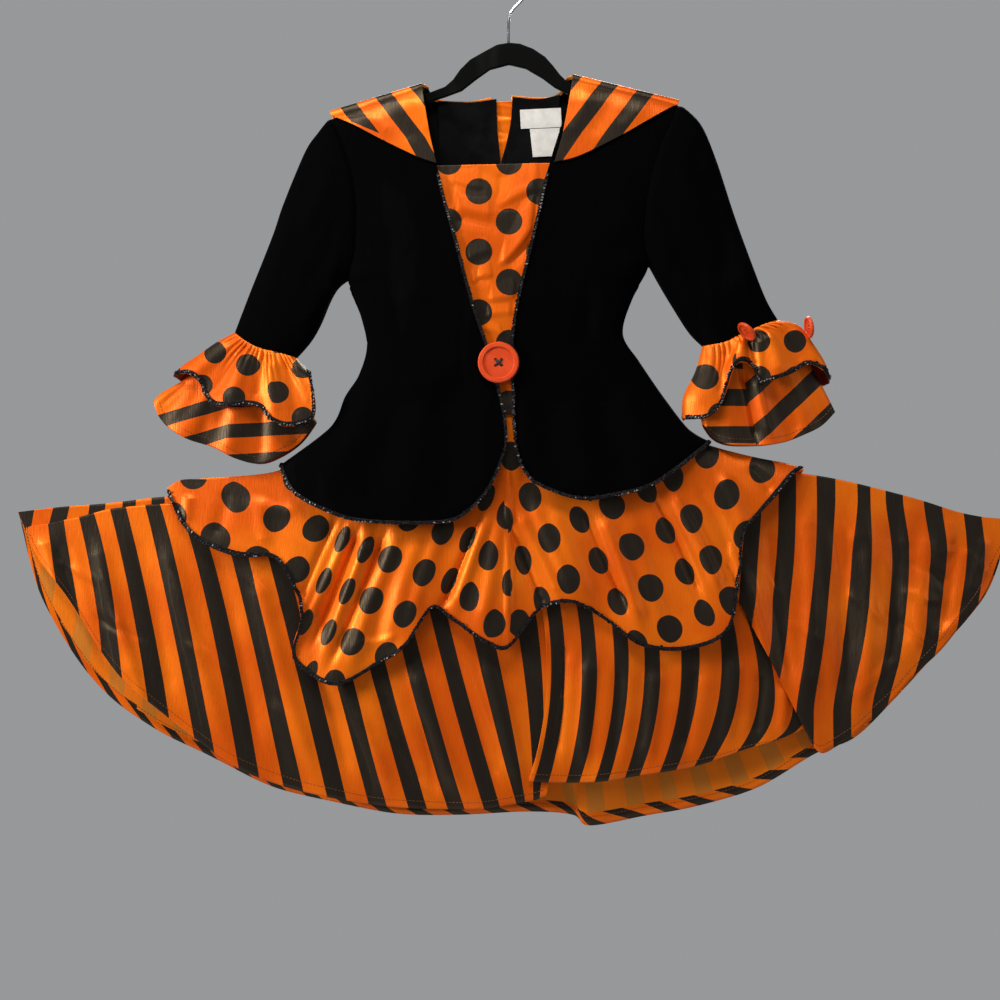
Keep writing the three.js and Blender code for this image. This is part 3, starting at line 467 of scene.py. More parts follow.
def faces_of(rows, columns, wraps):
    j, i = np.meshgrid(np.arange(rows - 1), np.arange(columns if wraps else columns - 1), indexing="ij")
    j, i = j.ravel(), i.ravel()
    n = rows * columns

    def at(layer, row, column):
        return layer * n + row * columns + column % columns

    outer = [at(0, j, i), at(0, j, i + 1), at(0, j + 1, i + 1), at(0, j + 1, i)]
    inner = [at(1, j, i), at(1, j + 1, i), at(1, j + 1, i + 1), at(1, j, i + 1)]
    k = np.arange(columns if wraps else columns - 1)
    low = rows - 1
    rims = [[at(0, 0, k), at(1, 0, k), at(1, 0, k + 1), at(0, 0, k + 1)],
            [at(0, low, k), at(0, low, k + 1), at(1, low, k + 1), at(1, low, k)]]
    if not wraps:
        k = np.arange(rows - 1)
        far = columns - 1
        rims += [[at(0, k, 0), at(0, k + 1, 0), at(1, k + 1, 0), at(1, k, 0)],
                 [at(0, k, far), at(1, k, far), at(1, k + 1, far), at(0, k + 1, far)]]
    rims = np.concatenate([np.stack(r, axis=1) for r in rims])
    return np.stack(outer, axis=1), np.stack(inner, axis=1), rims


def mesh_of(name, points, faces, maps, groups, flat_from, materials):
    mesh = bpy.data.meshes.new(name)
    mesh.vertices.add(len(points))
    mesh.vertices.foreach_set("co", (points * MM).ravel())
    mesh.loops.add(faces.size)
    mesh.loops.foreach_set("vertex_index", faces.ravel())
    mesh.polygons.add(len(faces))
    mesh.polygons.foreach_set("loop_start", np.arange(len(faces)) * faces.shape[1])
    mesh.polygons.foreach_set("material_index", groups)
    mesh.polygons.foreach_set("use_smooth", np.arange(len(faces)) < flat_from)
    for material in materials:
        mesh.materials.append(material)
    if maps is not None:
        mesh.uv_layers.new(name="cloth").data.foreach_set("uv", maps.ravel())
    mesh.update()
    mesh.validate()
    piece = bpy.data.objects.new(name, mesh)
    scene.collection.objects.link(piece)
    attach(piece, "root")
    return piece


# %% [markdown]
# A skirt's hem is turned up inside, so the right side of the print shows there, and at the left the back's
# upper edge rolls over. Both are part of the same sheet: those faces only take the other finish.

# %% One sheet of cloth
TURNED_LEAN, TURNED_MM = 0.048, 12.0


def cloth(node, grid, maps, side=1, wraps=False, thick=CLOTH, outside=None, inside=None, slot=None, seam=None,
          turned=0, rolled=0):
    """grid holds the inner face's points, maps the print's place at each of them. seam is a column and the
    maps that hold beyond it, where two cuts with their own grain are sewn together. turned counts the rows
    at the hem that are turned up inside, so the right side of the print shows there, leaning the other way.
    rolled is how many mm of the upper edge roll over at the left, where the right side shows as well"""
    rows, columns = grid.shape[:2]
    normal = leans(grid, wraps)
    if wraps:
        middle = grid.mean(axis=1, keepdims=True)
        if ((grid - middle) * normal).sum() < 0:
            normal = -normal
    elif normal[..., 1].sum() * side > 0:
        normal = -normal
    skin = grid + normal * thick
    points = np.concatenate([skin.reshape(-1, 3), grid.reshape(-1, 3)])
    outer, inner, rims = faces_of(rows, columns, wraps)
    faces = np.concatenate([outer, inner, rims])
    a, b, c = points[outer[:, 0]], points[outer[:, 1]], points[outer[:, 2]]
    if (np.cross(b - a, c - a) * normal.reshape(-1, 3)[outer[:, 0]]).sum() < 0:
        faces = faces[:, ::-1]
    groups = np.concatenate([np.zeros(len(outer)), np.ones(len(inner)), np.zeros(len(rims))]).astype(int)
    corners = np.concatenate([maps.reshape(-1, 2)] * 2)[faces]
    if seam:
        beyond = np.concatenate([seam[1].reshape(-1, 2)] * 2)[faces]
        past = (faces % columns).mean(axis=1) > seam[0]
        corners[past] = beyond[past]
    of_grid = faces % (rows * columns)
    if turned:
        rows_up = rows - 1 - of_grid // columns
        mm_up = (grid[..., 2] - grid[-1:, :, 2]).ravel()[of_grid]
        hem = (groups == 1) & ((rows_up.max(axis=1) <= turned) | (mm_up.max(axis=1) < TURNED_MM))
        groups[hem] = 0
        corners[hem, :, 0] += TURNED_LEAN * mm_up[hem]
    if rolled:
        under_edge = (grid[:1, :, 2] - grid[..., 2]).ravel()[of_grid]
        left_fifth = (faces % columns).max(axis=1) < columns / 5
        groups[(groups == 1) & (under_edge.max(axis=1) < rolled) & left_fifth] = 0
    piece = mesh_of(node + "_cloth", points, faces, corners, groups, len(outer) + len(inner),
                    [outside, inside or outside])
    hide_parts(node)
    PIECES[node] = {"piece": piece, "grid": grid, "skin": skin, "normal": normal, "wraps": wraps}
    return PIECES[node]


# %% Cloth that lies on other cloth
def lie_over(x, down, out, below, side=1, gap=LAYER):
    """Lifts cloth where it would sink into what lies under it"""
    trees = [tree_of(node) for node in below]
    flat_x, flat_down, flat_out = x.ravel(), down.ravel(), out.ravel().copy()
    for n in range(len(flat_x)):
        eye = Vector((flat_x[n] * MM, -side, -flat_down[n] * MM))
        for tree in trees:
            hit = tree.ray_cast(eye, Vector((0, side, 0)), 2)[0]
            if hit is not None:
                need = -side * hit.y / MM + gap
                if flat_out[n] < need + 1:
                    flat_out[n] = need + 0.5 * math.exp(flat_out[n] - need - 1) if flat_out[n] < need else \
                        max(flat_out[n], need + 0.5)
    return flat_out.reshape(x.shape)


def tree_of(node):
    piece = PIECES[node]["piece"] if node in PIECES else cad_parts[node]
    mesh = piece.data
    corners = [v.co.copy() for v in mesh.vertices]
    return BVHTree.FromPolygons(corners, [tuple(p.vertices) for p in mesh.polygons])


# %% [markdown]
# ## The body and its shoulders
# Both fronts and the back meet in one line over the shoulders and around the armholes. The body swells
# softly towards its middle, less than a worn one: on its hanger the costume is nearly flat.

# %% How deep the body is
FRONT_DEPTH = table(
    "down out",
    (114, 4.5), (144, 8.5), (170, 10), (208, 12), (270, 16), (340, 17),
    (404, 13), (444, 13), (490, 19), (526, 24), (570, 28),
)
BACK_DEPTH = table(
    "down out",
    (114, 4.5), (144, 8.5), (170, 9.5), (208, 10), (270, 11), (340, 11),
    (404, 10), (444, 11.5), (490, 15.5), (526, 19), (570, 21),
)
print("the body swells", FRONT_DEPTH["out"].max(), "mm to the front,", BACK_DEPTH["out"].max(), "to the back")

# %% Cut of the fronts, and the sides they share with the back
LEFT_FRONT = {
    "top": [(-173, 160), (-125, 144), (-81, 128)],
    "left": [(-156, 200), (-148, 245), (-149, 290), (-156, 321), (-144, 352), (-137, 385),
             (-145, 415), (-159, 437), (-174, 468)],
    "right": [(-75, 165), (-67, 212), (-50, 276), (-33, 340), (-18, 385), (-5, 432),
              (1, 465)],
    "hem": [(-224, 506), (-208, 534), (-168, 555), (-137, 562), (-81, 564), (-49, 560),
            (-26, 542), (-11, 519), (1, 487)],
}
RIGHT_FRONT = {
    "top": [(67, 120), (120, 134), (174, 147)],
    "left": [(58, 160), (42, 214), (28, 274), (13, 338), (7, 383), (8, 432),
             (9, 465)],
    "right": [(153, 190), (141, 240), (138, 280), (143, 307), (126, 340), (117, 375),
              (134, 403), (158, 438), (183, 470)],
    "hem": [(10, 487), (20, 514), (37, 528), (75, 540), (108, 536), (141, 528),
            (166, 513), (205, 483)],
}
LEFT_SIDE = np.array([LEFT_FRONT["top"][0], *LEFT_FRONT["left"], LEFT_FRONT["hem"][0]])
RIGHT_SIDE = np.array([RIGHT_FRONT["top"][2], *RIGHT_FRONT["right"], RIGHT_FRONT["hem"][7]])
SHOULDERS = {
    "left": {"tip": LEFT_FRONT["top"][0], "neck": LEFT_FRONT["top"][2], "under": 321},
    "right": {"tip": RIGHT_FRONT["top"][2], "neck": RIGHT_FRONT["top"][0], "under": 307},
}
SEAM = 0.3
SIDE_REACH = 62
SHOULDER_REACH = 22
SLEEVE_HEAD_DEEP = 11
BLUNT = 0.8  # below 1 a rounded side is fuller than half a circle


# %% How far out the body lies at any point
def round_rise(t):
    return np.sqrt(1 - (1 - np.clip(t, 0, 1)) ** 2)


def rounded(t):
    """0 at both ends and 1 in the middle, like half of a blunt tube"""
    return (2 * np.sqrt(t * (1 - t))) ** BLUNT


def head_depth(shoulder, down):
    t = np.clip((down - shoulder["tip"][1]) / (shoulder["under"] - shoulder["tip"][1]), 0, 1)
    return SLEEVE_HEAD_DEEP * rounded(t)


def side_out(depths, x, down, side, shoulder):
    tip, neck = shoulder["tip"], shoulder["neck"]
    inward = np.abs(np.interp(down, side[:, 1], side[:, 0]) - x)
    below = down - mix(tip[1], neck[1], (x - tip[0]) / (neck[0] - tip[0]))
    seam = SEAM / 2 + head_depth(shoulder, down)
    full = np.maximum(np.interp(down, depths["down"], depths["out"]), seam)
    return mix(SEAM / 2, mix(seam, full, round_rise(inward / SIDE_REACH)), round_rise(below / SHOULDER_REACH))


def body_out(depths, x, down):
    return np.where(x < 0, side_out(depths, x, down, LEFT_SIDE, SHOULDERS["left"]),
                    side_out(depths, x, down, RIGHT_SIDE, SHOULDERS["right"]))


# %% Grids and plain maps
def mesh_grid(across, along):
    return np.meshgrid(even(across), even(along))


def stripe_map(stripe, away):
    """The map of a striped piece: which stripe a point lies on, and how far along that stripe it is"""
    return np.stack([stripe, away / MAP_STEP], axis=-1)


def flat_map(x, down):
    return stripe_map(x / MAP_STEP, down)


# %% [markdown]
# ## Facings and labels
# These lie deepest, inside the back neck. First comes the small sum that every spotted piece needs.

# %% Spots on a lattice
def lattice(x, down, origin, angle, pitch):
    """How many steps a point is from one spot, along two directions at right angles"""
    turn = math.radians(angle)
    dx, dd = x - origin[0], down - origin[1]
    across = (dx * math.cos(turn) + dd * math.sin(turn)) / pitch
    under = (dd * math.cos(turn) - dx * math.sin(turn)) / pitch
    return np.stack([across, under], axis=-1)


# %% [markdown]
# Inside the back neck the costume is faced with black lining. Its slit opens on an orange placket, with
# a bare sewn label and a bare care label beside it. The facing gathers a little towards the slit.

# %% Facings, placket and labels
UNDER = -(WALL + 0.8)
LABEL_THICK, LABEL_ROOM = 0.8, 0.5
LABEL_LIFT = 2 * UNDER - LABEL_ROOM - LABEL_THICK
NECK_PIECES = {
    "neck_facing_left": {
        "top": [(-67, 140), (-37, 141.5), (-8.5, 138)],
        "hem": [(-65, 232), (-35, 236), (-4, 237)],
        "right": [(-7.5, 170), (-4.6, 197), (-4.2, 210)],
        "lift": 2 * UNDER, "thick": 1.1, "finish": LINING, "slot": "lining_black",
    },
    "neck_facing_right": {
        "top": [(7.5, 136), (33, 138), (55, 134)],
        "hem": [(-3.6, 237), (25, 236), (51, 232)],
        "left": [(5.5, 162), (0.2, 187), (-3.4, 199), (-3.6, 212)],
        "lift": 2 * UNDER, "thick": 1.1, "finish": LINING, "slot": "lining_black",
    },
    "neck_placket": {
        "top": [(-16, 141), (12, 139)],
        "hem": [(-7, 208), (4, 208)],
        "lift": UNDER, "thick": 1.1, "finish": SATIN_PLAIN, "slot": "satin_orange",
    },
    "neck_label": {
        "top": [(15, 149), (56, 147)],
        "hem": [(16, 168), (57, 166)],
        "lift": LABEL_LIFT, "thick": 0.7, "finish": LABEL, "slot": "label_white",
    },
    "care_label": {
        "top": [(25, 168.2), (55, 166.8)],
        "hem": [(28, 196), (52, 195)],
        "lift": LABEL_LIFT, "thick": 0.7, "finish": LABEL, "slot": "label_white",
    },
}
SLIT_FOLDS = fold_lines(
    (-17, 144, -29, 190, 3.5, 0.7, 0),
    (-12, 152, -21, 202, 3, -0.6, 0),
    (-27, 144, -37, 180, 3, -0.5, 1),
    (9, 144, 15, 190, 3, 0.5, 0),
)
PLACKET_FOLDS = fold_lines(
    (-11, 144, 11, 147, 2, 0.9, 1),
    (-11, 152, 9, 155, 2, -0.8, -1),
    (-10, 161, 8, 159, 2.4, 0.9, 1),
    (-9, 170, 7, 174, 2, -0.8, 1),
    (-9, 181, 5, 178, 2.4, 0.8, -1),
)
for node, cut in NECK_PIECES.items():
    u, v = mesh_grid(48, 60)
    x, down = panel(cut)(u, v)
    lift = ripple(x, down, 26, 0.35, 5)
    if "facing" in node:
        lift = folds(x, down, SLIT_FOLDS)
    if node == "neck_placket":
        lift = folds(x, down, PLACKET_FOLDS)
    out = body_out(BACK_DEPTH, x, down) + cut["lift"] - lift * 0.6
    cloth(node, place(x, down, out, -1), flat_map(x, down), -1, thick=cut["thick"], outside=cut["finish"],
          slot=cut["slot"])
print("inside of the neck:", len(NECK_PIECES), "pieces")

# %% [markdown]
# ## Skirt
# A circle skirt falls in deep soft flutes. Its stripes run with the cloth from waist to hem, so each row
# of the table is one flute line and says which stripe lies on it. The front hangs as three fans that lie
# over each other, and the back shows below and inside them.

# %% Skirt cut, flute by flute
# One flute line: where it leaves the waist, passes its middle and reaches the hem, and how far out it lies
FLUTE = "topX topD midX midD hemX hemD topOut hemOut"
SKIRT_BACK = table(
    FLUTE + " stripe",
    (-487, 552, -485, 559, -483, 568, 0.2, 0.6, 0),
    (-445, 547, -455, 590, -463, 640, 0.2, 3, 1.2),
    (-395, 543, -403, 625, -413, 721, 0.2, 7, 2.6),
    (-345, 537, -349, 645, -355, 767, 0.2, 5, 4.3),
    (-290, 534, -289, 665, -297, 797, 0.2, 9, 6.2),
    (-230, 527, -227, 680, -235, 827, 0.2, 6, 8),
    (-173, 500, -170, 680, -171, 844, 0.3, 11, 9.8),
    (-143, 464, -125, 680, -107, 855, 3, 7, 11.5),
    (-105, 452, -75, 670, -44, 857, 4, 12, 13.2),
    (-65, 448, -25, 660, 23, 853, 5, 8, 14.9),
    (-25, 446, 20, 660, 68, 857, 5, 12, 16.1),
    (10, 445, 55, 660, 85, 867, 5, 8, 17),
    (45, 445, 100, 660, 141, 858, 5, 12, 18.4),
    (85, 445, 145, 660, 195, 847, 5, 8, 20),
    (120, 447, 190, 660, 255, 829, 4, 11, 21.6),
    (145, 468, 233, 652, 311, 795, 2, 7, 23.2),
    (199, 499, 279, 643, 353, 778, 0.3, 10, 24.5),
    (255, 513, 325, 631, 396, 734, 0.2, 6, 25.9),
    (307, 516, 365, 613, 432, 695, 0.2, 7, 27.2),
    (357, 525, 404, 600, 462, 661, 0.2, 4, 28.4),
    (410, 539, 444, 588, 483, 632, 0.2, 3, 29.5),
    (460, 554, 475, 574, 496, 598, 0.2, 1.5, 30.5),
    (500, 559, 501, 566, 500, 573, 0.2, 0.6, 31.3),
)
print("flute lines of the back:", len(SKIRT_BACK["topX"]))

# %% The three front fans
SKIRT_LEFT = table(
    FLUTE + " stripe",
    (-477, 567, -477, 572, -476, 578, 0.2, 0.8, -0.55),
    (-467, 565, -467, 581, -465, 600, 0.2, 2, -0.28),
    (-457, 564, -453, 592, -448, 621, 0.2, 3, 0),
    (-441, 560, -434, 605, -425, 656, 0.2, 4, 0.46),
    (-426, 557, -411, 628, -403, 691, 0.2, 3, 1),
    (-411, 553, -393, 625, -381, 718, 0.2, 5, 1.46),
    (-395, 549, -374, 638, -356, 740, 0.2, 7, 2),
    (-360, 545, -337, 642, -310, 777, 0.2, 5, 3),
    (-327, 543, -298, 642, -265, 807, 0.2, 9, 4),
    (-290, 539, -259, 652, -221, 825, 0.2, 6, 5),
    (-253, 534, -219, 665, -177, 835, 0.3, 10, 6),
    (-215, 524, -178, 680, -136, 843, 0.5, 6, 7),
    (-180, 502, -143, 675, -96, 846, 1, 11, 8),
    (-147, 474, -108, 668, -57, 848, 3, 7, 9),
    (-115, 456, -73, 660, -21, 847, 4, 11, 10),
    (-81, 450, -37, 655, 11, 842, 5, 9, 11),
    (-43, 447, 9, 650, 28, 839, 4.8, 7, 12),
    (-5, 445, 53, 640, 41, 835, 4.6, 7, 13),
)
SKIRT_MID = table(
    FLUTE + " stripe",
    (-39, 447, 36, 645, 23, 819, 6.8, 11, -0.15),
    (-29, 446, 44, 640, 32, 820, 6.8, 12, 0.13),
    (0, 445, 77, 640, 67, 821, 6.4, 9, 1.22),
    (30, 445, 111, 640, 96, 819, 5, 14, 2.26),
    (60, 445, 141, 640, 127, 815, 5, 9, 3.26),
    (85, 445, 177, 640, 161, 809, 5, 13, 4.22),
    (105, 446, 216, 645, 196, 803, 3.8, 7, 5.22),
    (125, 449, 249, 665, 240, 788, 2.2, 6, 6.24),
    (138, 455, 281, 685, 273, 778, 1.2, 5, 7.3),
    (147, 460, 305, 685, 302, 762, 0.8, 4, 8.3),
)
SKIRT_RIGHT = table(
    FLUTE + " stripe",
    (135, 461, 228, 632, 301, 775, 5.4, 12, 0),
    (147, 471, 247, 630, 313, 791, 4.6, 13, 0),
    (165, 482, 268, 624, 331, 784, 2.8, 9, 0),
    (195, 496, 290, 622, 348, 773, 0.4, 10, 0),
    (230, 506, 313, 618, 368, 756, 0.3, 6, 0),
    (267, 511, 338, 614, 388, 737, 0.2, 9, 0),
    (301, 514, 361, 608, 410, 713, 0.2, 5, 0),
    (336, 520, 384, 604, 433, 690, 0.2, 8, 0),
    (374, 529, 410, 599, 452, 668, 0.2, 4, 0),
    (415, 540, 438, 593, 470, 646, 0.2, 5, 0),
    (457, 553, 466, 585, 483, 625, 0.2, 2, 0),
    (498, 560, 497, 576, 495, 592, 0.2, 0.8, 0),
)
print("flute lines of the fans:", [len(fan["topX"]) for fan in (SKIRT_LEFT, SKIRT_MID, SKIRT_RIGHT)])

# %% Stripes of the right fan
# Where the stripes of the right fan cross four levels: its stripes don't run with its flutes
FAN_LEVELS = np.array([540, 590, 640, 690, 750])
FAN_STRIPES = np.array([
    (242, 236, 232, 225, 217),
    (273, 271.5, 266.5, 262, 244),
    (311, 309, 304, 298, 289),
    (352, 347, 343, 336.5, 326),
    (380, 386, 384, 378, 365),
    (418, 423.5, 420, 414.6, 397),
    (457, 461, 455, 445, 431),
    (495, 499, 492, 481, 465),
])


def fan_stripe(x, down):
    """Which stripe of the right fan a point lies on, with its share across that stripe"""
    level = np.interp(down, FAN_LEVELS, np.arange(len(FAN_LEVELS)))
    lines = np.stack([smooth(row, level) for row in FAN_STRIPES])
    number = np.clip((lines <= x).sum(axis=0) - 1, 0, len(lines) - 2)
    low = np.take_along_axis(lines, number[None], 0)[0]
    high = np.take_along_axis(lines, number[None] + 1, 0)[0]
    return number + (x - low) / (high - low)


# %% [markdown]
# Between its flutes satin also creases finely along its length. Each skirt piece has its own creases, listed
# where the cloth swings from one flute to the next, and every layer lies on the one under it.

# %% Skirt creases
CREASES = {
    "skirt_back": fold_lines(
        (-385, 560, -405, 700, 9, 2.0, 4),
        (-255, 540, -265, 800, 12, 2.2, -6),
        (-145, 490, -133, 830, 12, -2.4, 5),
        (-35, 470, -5, 840, 12, 2.4, 6),
        (55, 470, 115, 840, 11, -2.0, -5),
        (135, 490, 230, 810, 12, 2.4, 7),
        (225, 520, 335, 740, 11, -2.0, 5),
        (315, 530, 405, 690, 9, 1.8, -4),
    ),
    "skirt_front_left": fold_lines(
        (-465, 570, -443, 640, 6, 0.9, 2),
        (-445, 564, -413, 695, 8, -1.2, -3),
        (-410, 556, -365, 740, 9, 1.5, -5),
        (-377, 552, -330, 755, 8, -1.3, 4),
        (-345, 548, -273, 792, 9, 1.6, -6),
        (-300, 560, -243, 805, 8, -1.4, 5),
        (-255, 585, -187, 820, 9, 1.8, -5),
        (-209, 640, -153, 832, 8, -1.5, 4),
        (-175, 700, -113, 836, 8, 1.6, 3),
        (-129, 710, -73, 837, 9, -1.8, -4),
        (-95, 690, -43, 837, 8, 1.9, -3),
        (-59, 680, -5, 837, 8, -1.5, 3),
        (-25, 680, 15, 830, 7, 1.6, 2),
        (-395, 640, -357, 752, 5, 0.8, 3),
        (-235, 730, -205, 820, 5, 0.8, 2),
        (-85, 740, -69, 840, 5, -0.8, 2),
        (-453, 600, -405, 624, 4, 0.5, 2),
        (-415, 652, -355, 680, 4, -0.5, -2),
        (-325, 680, -269, 716, 4, 0.5, 3),
        (-273, 606, -215, 652, 4, 0.5, 2),
        (-155, 752, -103, 782, 4, 0.4, 2),
    ),
    "skirt_front_mid": fold_lines(
        (40, 652, 28, 815, 4, 1.2, 1),
        (60, 660, 48, 810, 7, -1.6, 2),
        (87, 680, 77, 812, 7, 1.8, -2),
        (115, 690, 105, 812, 7, -1.3, 2),
        (150, 695, 138, 808, 8, 1.6, 3),
        (195, 690, 179, 800, 8, -1.7, -3),
        (230, 685, 217, 790, 7, 1.2, 2),
        (257, 700, 247, 782, 6, -1.3, 2),
        (278, 720, 275, 775, 5, 1.0, 1),
    ),
    "skirt_front_right": fold_lines(
        (239, 600, 273, 730, 6, 1.6, -4),
        (265, 540, 287, 740, 8, -1.6, -6),
        (297, 530, 295, 755, 9, 1.7, 10),
        (327, 525, 333, 765, 9, -1.8, 9),
        (357, 530, 353, 755, 8, 1.5, 8),
        (388, 540, 375, 730, 8, -1.5, 8),
        (420, 550, 400, 710, 9, 1.4, 7),
        (450, 560, 430, 680, 7, -1.2, 5),
        (480, 568, 460, 640, 6, 0.9, 3),
        (307, 516, 302, 572, 8, 1.1, 2),
        (354, 525, 350, 588, 8, 1.0, 2),
        (399, 538, 397, 592, 8, 1.0, 2),
        (443, 554, 441, 600, 7, 0.8, 2),
        (337, 630, 379, 664, 4, 0.5, 2),
        (393, 628, 435, 642, 4, 0.5, -2),
        (397, 598, 447, 632, 5, -0.6, 3),
        (425, 682, 465, 644, 4, 0.6, -2),
        (343, 742, 397, 695, 4, 0.5, 2),
        (375, 650, 427, 690, 4, -0.5, 2),
        (273, 658, 317, 682, 4, 0.4, 1),
        (455, 586, 483, 618, 4, 0.5, 1),
    ),
}


# %% Skirt pieces
CREASE_DEEP = {"skirt": 2.8, "overskirt": 2.4}
CREASE_NARROW = {"skirt": 1, "overskirt": 0.8}


def hang(node, rows, size, side=1, below=(), maps=None, seam=None, wave=0.5, seed=1, **looks):
    u, v = mesh_grid(*size)
    x, down, out = ribbed(rows)(u, v)
    settled = np.clip(v * 2.2, 0, 1)
    kind = node.split("_")[0]
    creases = {**CREASES[node], "wide": CREASES[node]["wide"] * CREASE_NARROW[kind]}
    deep = CREASE_DEEP[kind]
    out = out + (deep * folds(x, down, creases) + ripple(x, down, 60, wave, seed)) * settled
    out = np.maximum(out, 0.2)
    if below:
        out = lie_over(x, down, out, below, side)
    if maps is None:
        stripe = smooth(rows["stripe"], u * (len(rows["stripe"]) - 1))
        maps = stripe_map(stripe, down)
    else:
        maps = maps(x, down)
    if seam:
        maps, beyond = maps
        seam = (seam, beyond)
    return cloth(node, place(x, down, out, side), maps, side, seam=seam, **looks)


STRIPED = {"outside": SATIN_STRIPED, "inside": STRIPED_INSIDE, "slot": "satin_striped"}
SKIRT = {**STRIPED, "turned": 2}
hang("skirt_back", SKIRT_BACK, (224, 62), -1, wave=0.8, seed=2, rolled=20, **SKIRT)
hang("skirt_front_left", SKIRT_LEFT, (170, 84), seed=3, **SKIRT)
hang("skirt_front_mid", SKIRT_MID, (120, 84), below=["skirt_front_left"], seed=4, **SKIRT)
hang("skirt_front_right", SKIRT_RIGHT, (150, 72), below=["skirt_front_mid"], seed=5, **SKIRT,
     maps=lambda x, down: stripe_map(fan_stripe(x, down), down))
print("skirt pieces:", [n for n in PIECES if "skirt" in n])

# %% [markdown]
# ## Overskirt
# Spotted satin with a deep scalloped hem. Its flutes swallow cloth: on their flanks the spots look
# narrow, because the cloth there runs away from the viewer. The front was joined in the middle, and on
# each half the rows of spots lean outwards by 25 degrees.

# %% Overskirt cut and spots
OVER_FRONT = table(
    FLUTE,
    (-337, 528, -337, 529, -336, 531, 0.3, 1),
    (-323, 520, -325, 537, -326, 555, 0.3, 6),
    (-293, 519, -302, 548, -307, 579, 0.3, 11),
    (-259, 516, -263, 555, -267, 596, 0.3, 14),
    (-222, 509, -227, 558, -232, 597, 0.4, 13),
    (-199, 488, -202, 558, -215, 616, 1, 17),
    (-169, 468, -181, 575, -202, 651, 2, 19),
    (-159, 459, -167, 600, -211, 690, 4.5, 14),
    (-152, 452, -157, 602, -199, 709, 5.2, 16),
    (-144, 449, -144, 600, -167, 723, 6.8, 21),
    (-131, 446, -127, 595, -128, 704, 9, 15),
    (-113, 445, -105, 585, -99, 685, 10, 22),
    (-95, 445, -80, 570, -74, 648, 10, 18),
    (-75, 445, -57, 570, -55, 657, 10, 15),
    (-53, 445, -30, 580, -19, 681, 10, 22),
    (-15, 445, 3, 580, 3, 686, 10, 20),
    (-1, 445, 23, 570, 33, 650, 10, 15),
    (19, 445, 53, 565, 64, 641, 10, 22),
    (43, 445, 85, 575, 101, 660, 10, 16),
    (67, 445, 115, 580, 135, 684, 10, 22),
    (89, 446, 143, 585, 179, 688, 10, 17),
    (109, 447, 175, 580, 219, 670, 10, 22),
    (125, 449, 190, 560, 231, 620, 10, 18),
    (138, 455, 200, 532, 236, 574, 8.6, 19),
    (151, 464, 213, 514, 252, 554, 6.5, 14),
    (185, 482, 233, 505, 272, 533, 1.2, 12),
    (223, 492, 255, 504, 286, 517, 0.4, 8),
    (265, 501, 282, 505, 298, 508, 0.3, 1),
)
print("flute lines of the front:", len(OVER_FRONT["topX"]))

# %% Back of the overskirt
OVER_BACK = table(
    FLUTE,
    (-337, 528, -337, 529, -336, 531, 0.3, 1),
    (-315, 520, -315, 545, -319, 570, 0.3, 9),
    (-265, 516, -269, 555, -277, 596, 0.3, 14),
    (-215, 511, -225, 567, -233, 620, 0.6, 17),
    (-160, 461, -173, 570, -193, 670, 3, 15),
    (-143, 448, -139, 585, -150, 702, 8.2, 19),
    (-105, 446, -100, 580, -95, 680, 8.2, 15),
    (-70, 445, -57, 570, -55, 652, 8.2, 19),
    (-30, 445, -5, 580, 0, 685, 8.2, 15),
    (10, 445, 43, 570, 55, 652, 8.2, 19),
    (50, 445, 90, 580, 100, 672, 8.2, 15),
    (90, 446, 135, 585, 150, 695, 8.2, 19),
    (127, 450, 185, 575, 200, 665, 7, 15),
    (159, 467, 213, 545, 240, 610, 3, 17),
    (205, 486, 245, 520, 265, 570, 0.6, 14),
    (250, 498, 273, 510, 287, 530, 0.3, 8),
    (278, 503, 289, 506, 299, 510, 0.3, 1),
)
print("flute lines of the back:", len(OVER_BACK["topX"]))

# %% [markdown]
# A printed spot can't move on its cloth, so where a flute folds cloth away, a whole row of spots goes with
# it. Two tables say how much is gone by each place, and the print is read from there.

# %% Spots that the flutes have swallowed
# How many steps of the spots' lattice the flutes have swallowed by each place, on either half
TAKEN_UP = table(
    "x across under",
    (-335, -1.25, -0.2), (-298, -1.3, -0.2), (-287, -1.36, -0.25), (-239, -1.38, -0.28),
    (-199, -1.25, -0.1), (-177, -1.2, -0.08), (-171, -1.05, -0.07), (-159, -0.72, -0.06),
    (-145, -0.66, -0.05), (-131, -0.3, -0.05), (-121, -0.1, -0.02), (-109, -0.04, -0.01),
    (-75, 0.12, 0.04), (-67, 0.15, 0.04), (-55, 0.28, 0.06), (-49, 0.42, 0.1),
    (-35, 0.68, 0.12), (-27, 0.9, 0.05), (-17, 1.06, 0), (-5, 1.08, -0.08),
    (7, 1.18, -0.25), (21, 1.33, -0.34),
)
TAKEN_UP_RIGHT = table(
    "x across under",
    (-25, -1.05, -0.5), (-13, -1.0, -0.48), (-5, -0.92, -0.42), (1, -0.8, -0.36),
    (11, -0.66, -0.25), (25, -0.55, -0.15), (40, -0.42, -0.08), (50, -0.4, -0.04),
    (70, -0.32, 0.02), (79, -0.26, 0.03), (95, -0.1, 0.03), (123, 0.06, 0.01),
    (145, 0.06, 0), (163, 0.12, 0), (179, 0.32, 0), (193, 0.6, 0), (235, 0.62, 0.12),
    (291, 0.67, 0.35),
)
LEFT_FOLDS_LEAN, RIGHT_FOLDS_LEAN = 0.43, -0.46
READ_AT = 587
OVER_PITCH = 44.8
ROWS_LEAN = 25
LEFT_SPOT, RIGHT_SPOT = (-115, 597.5), (145.4, 626.5)  # one spot's middle on either half


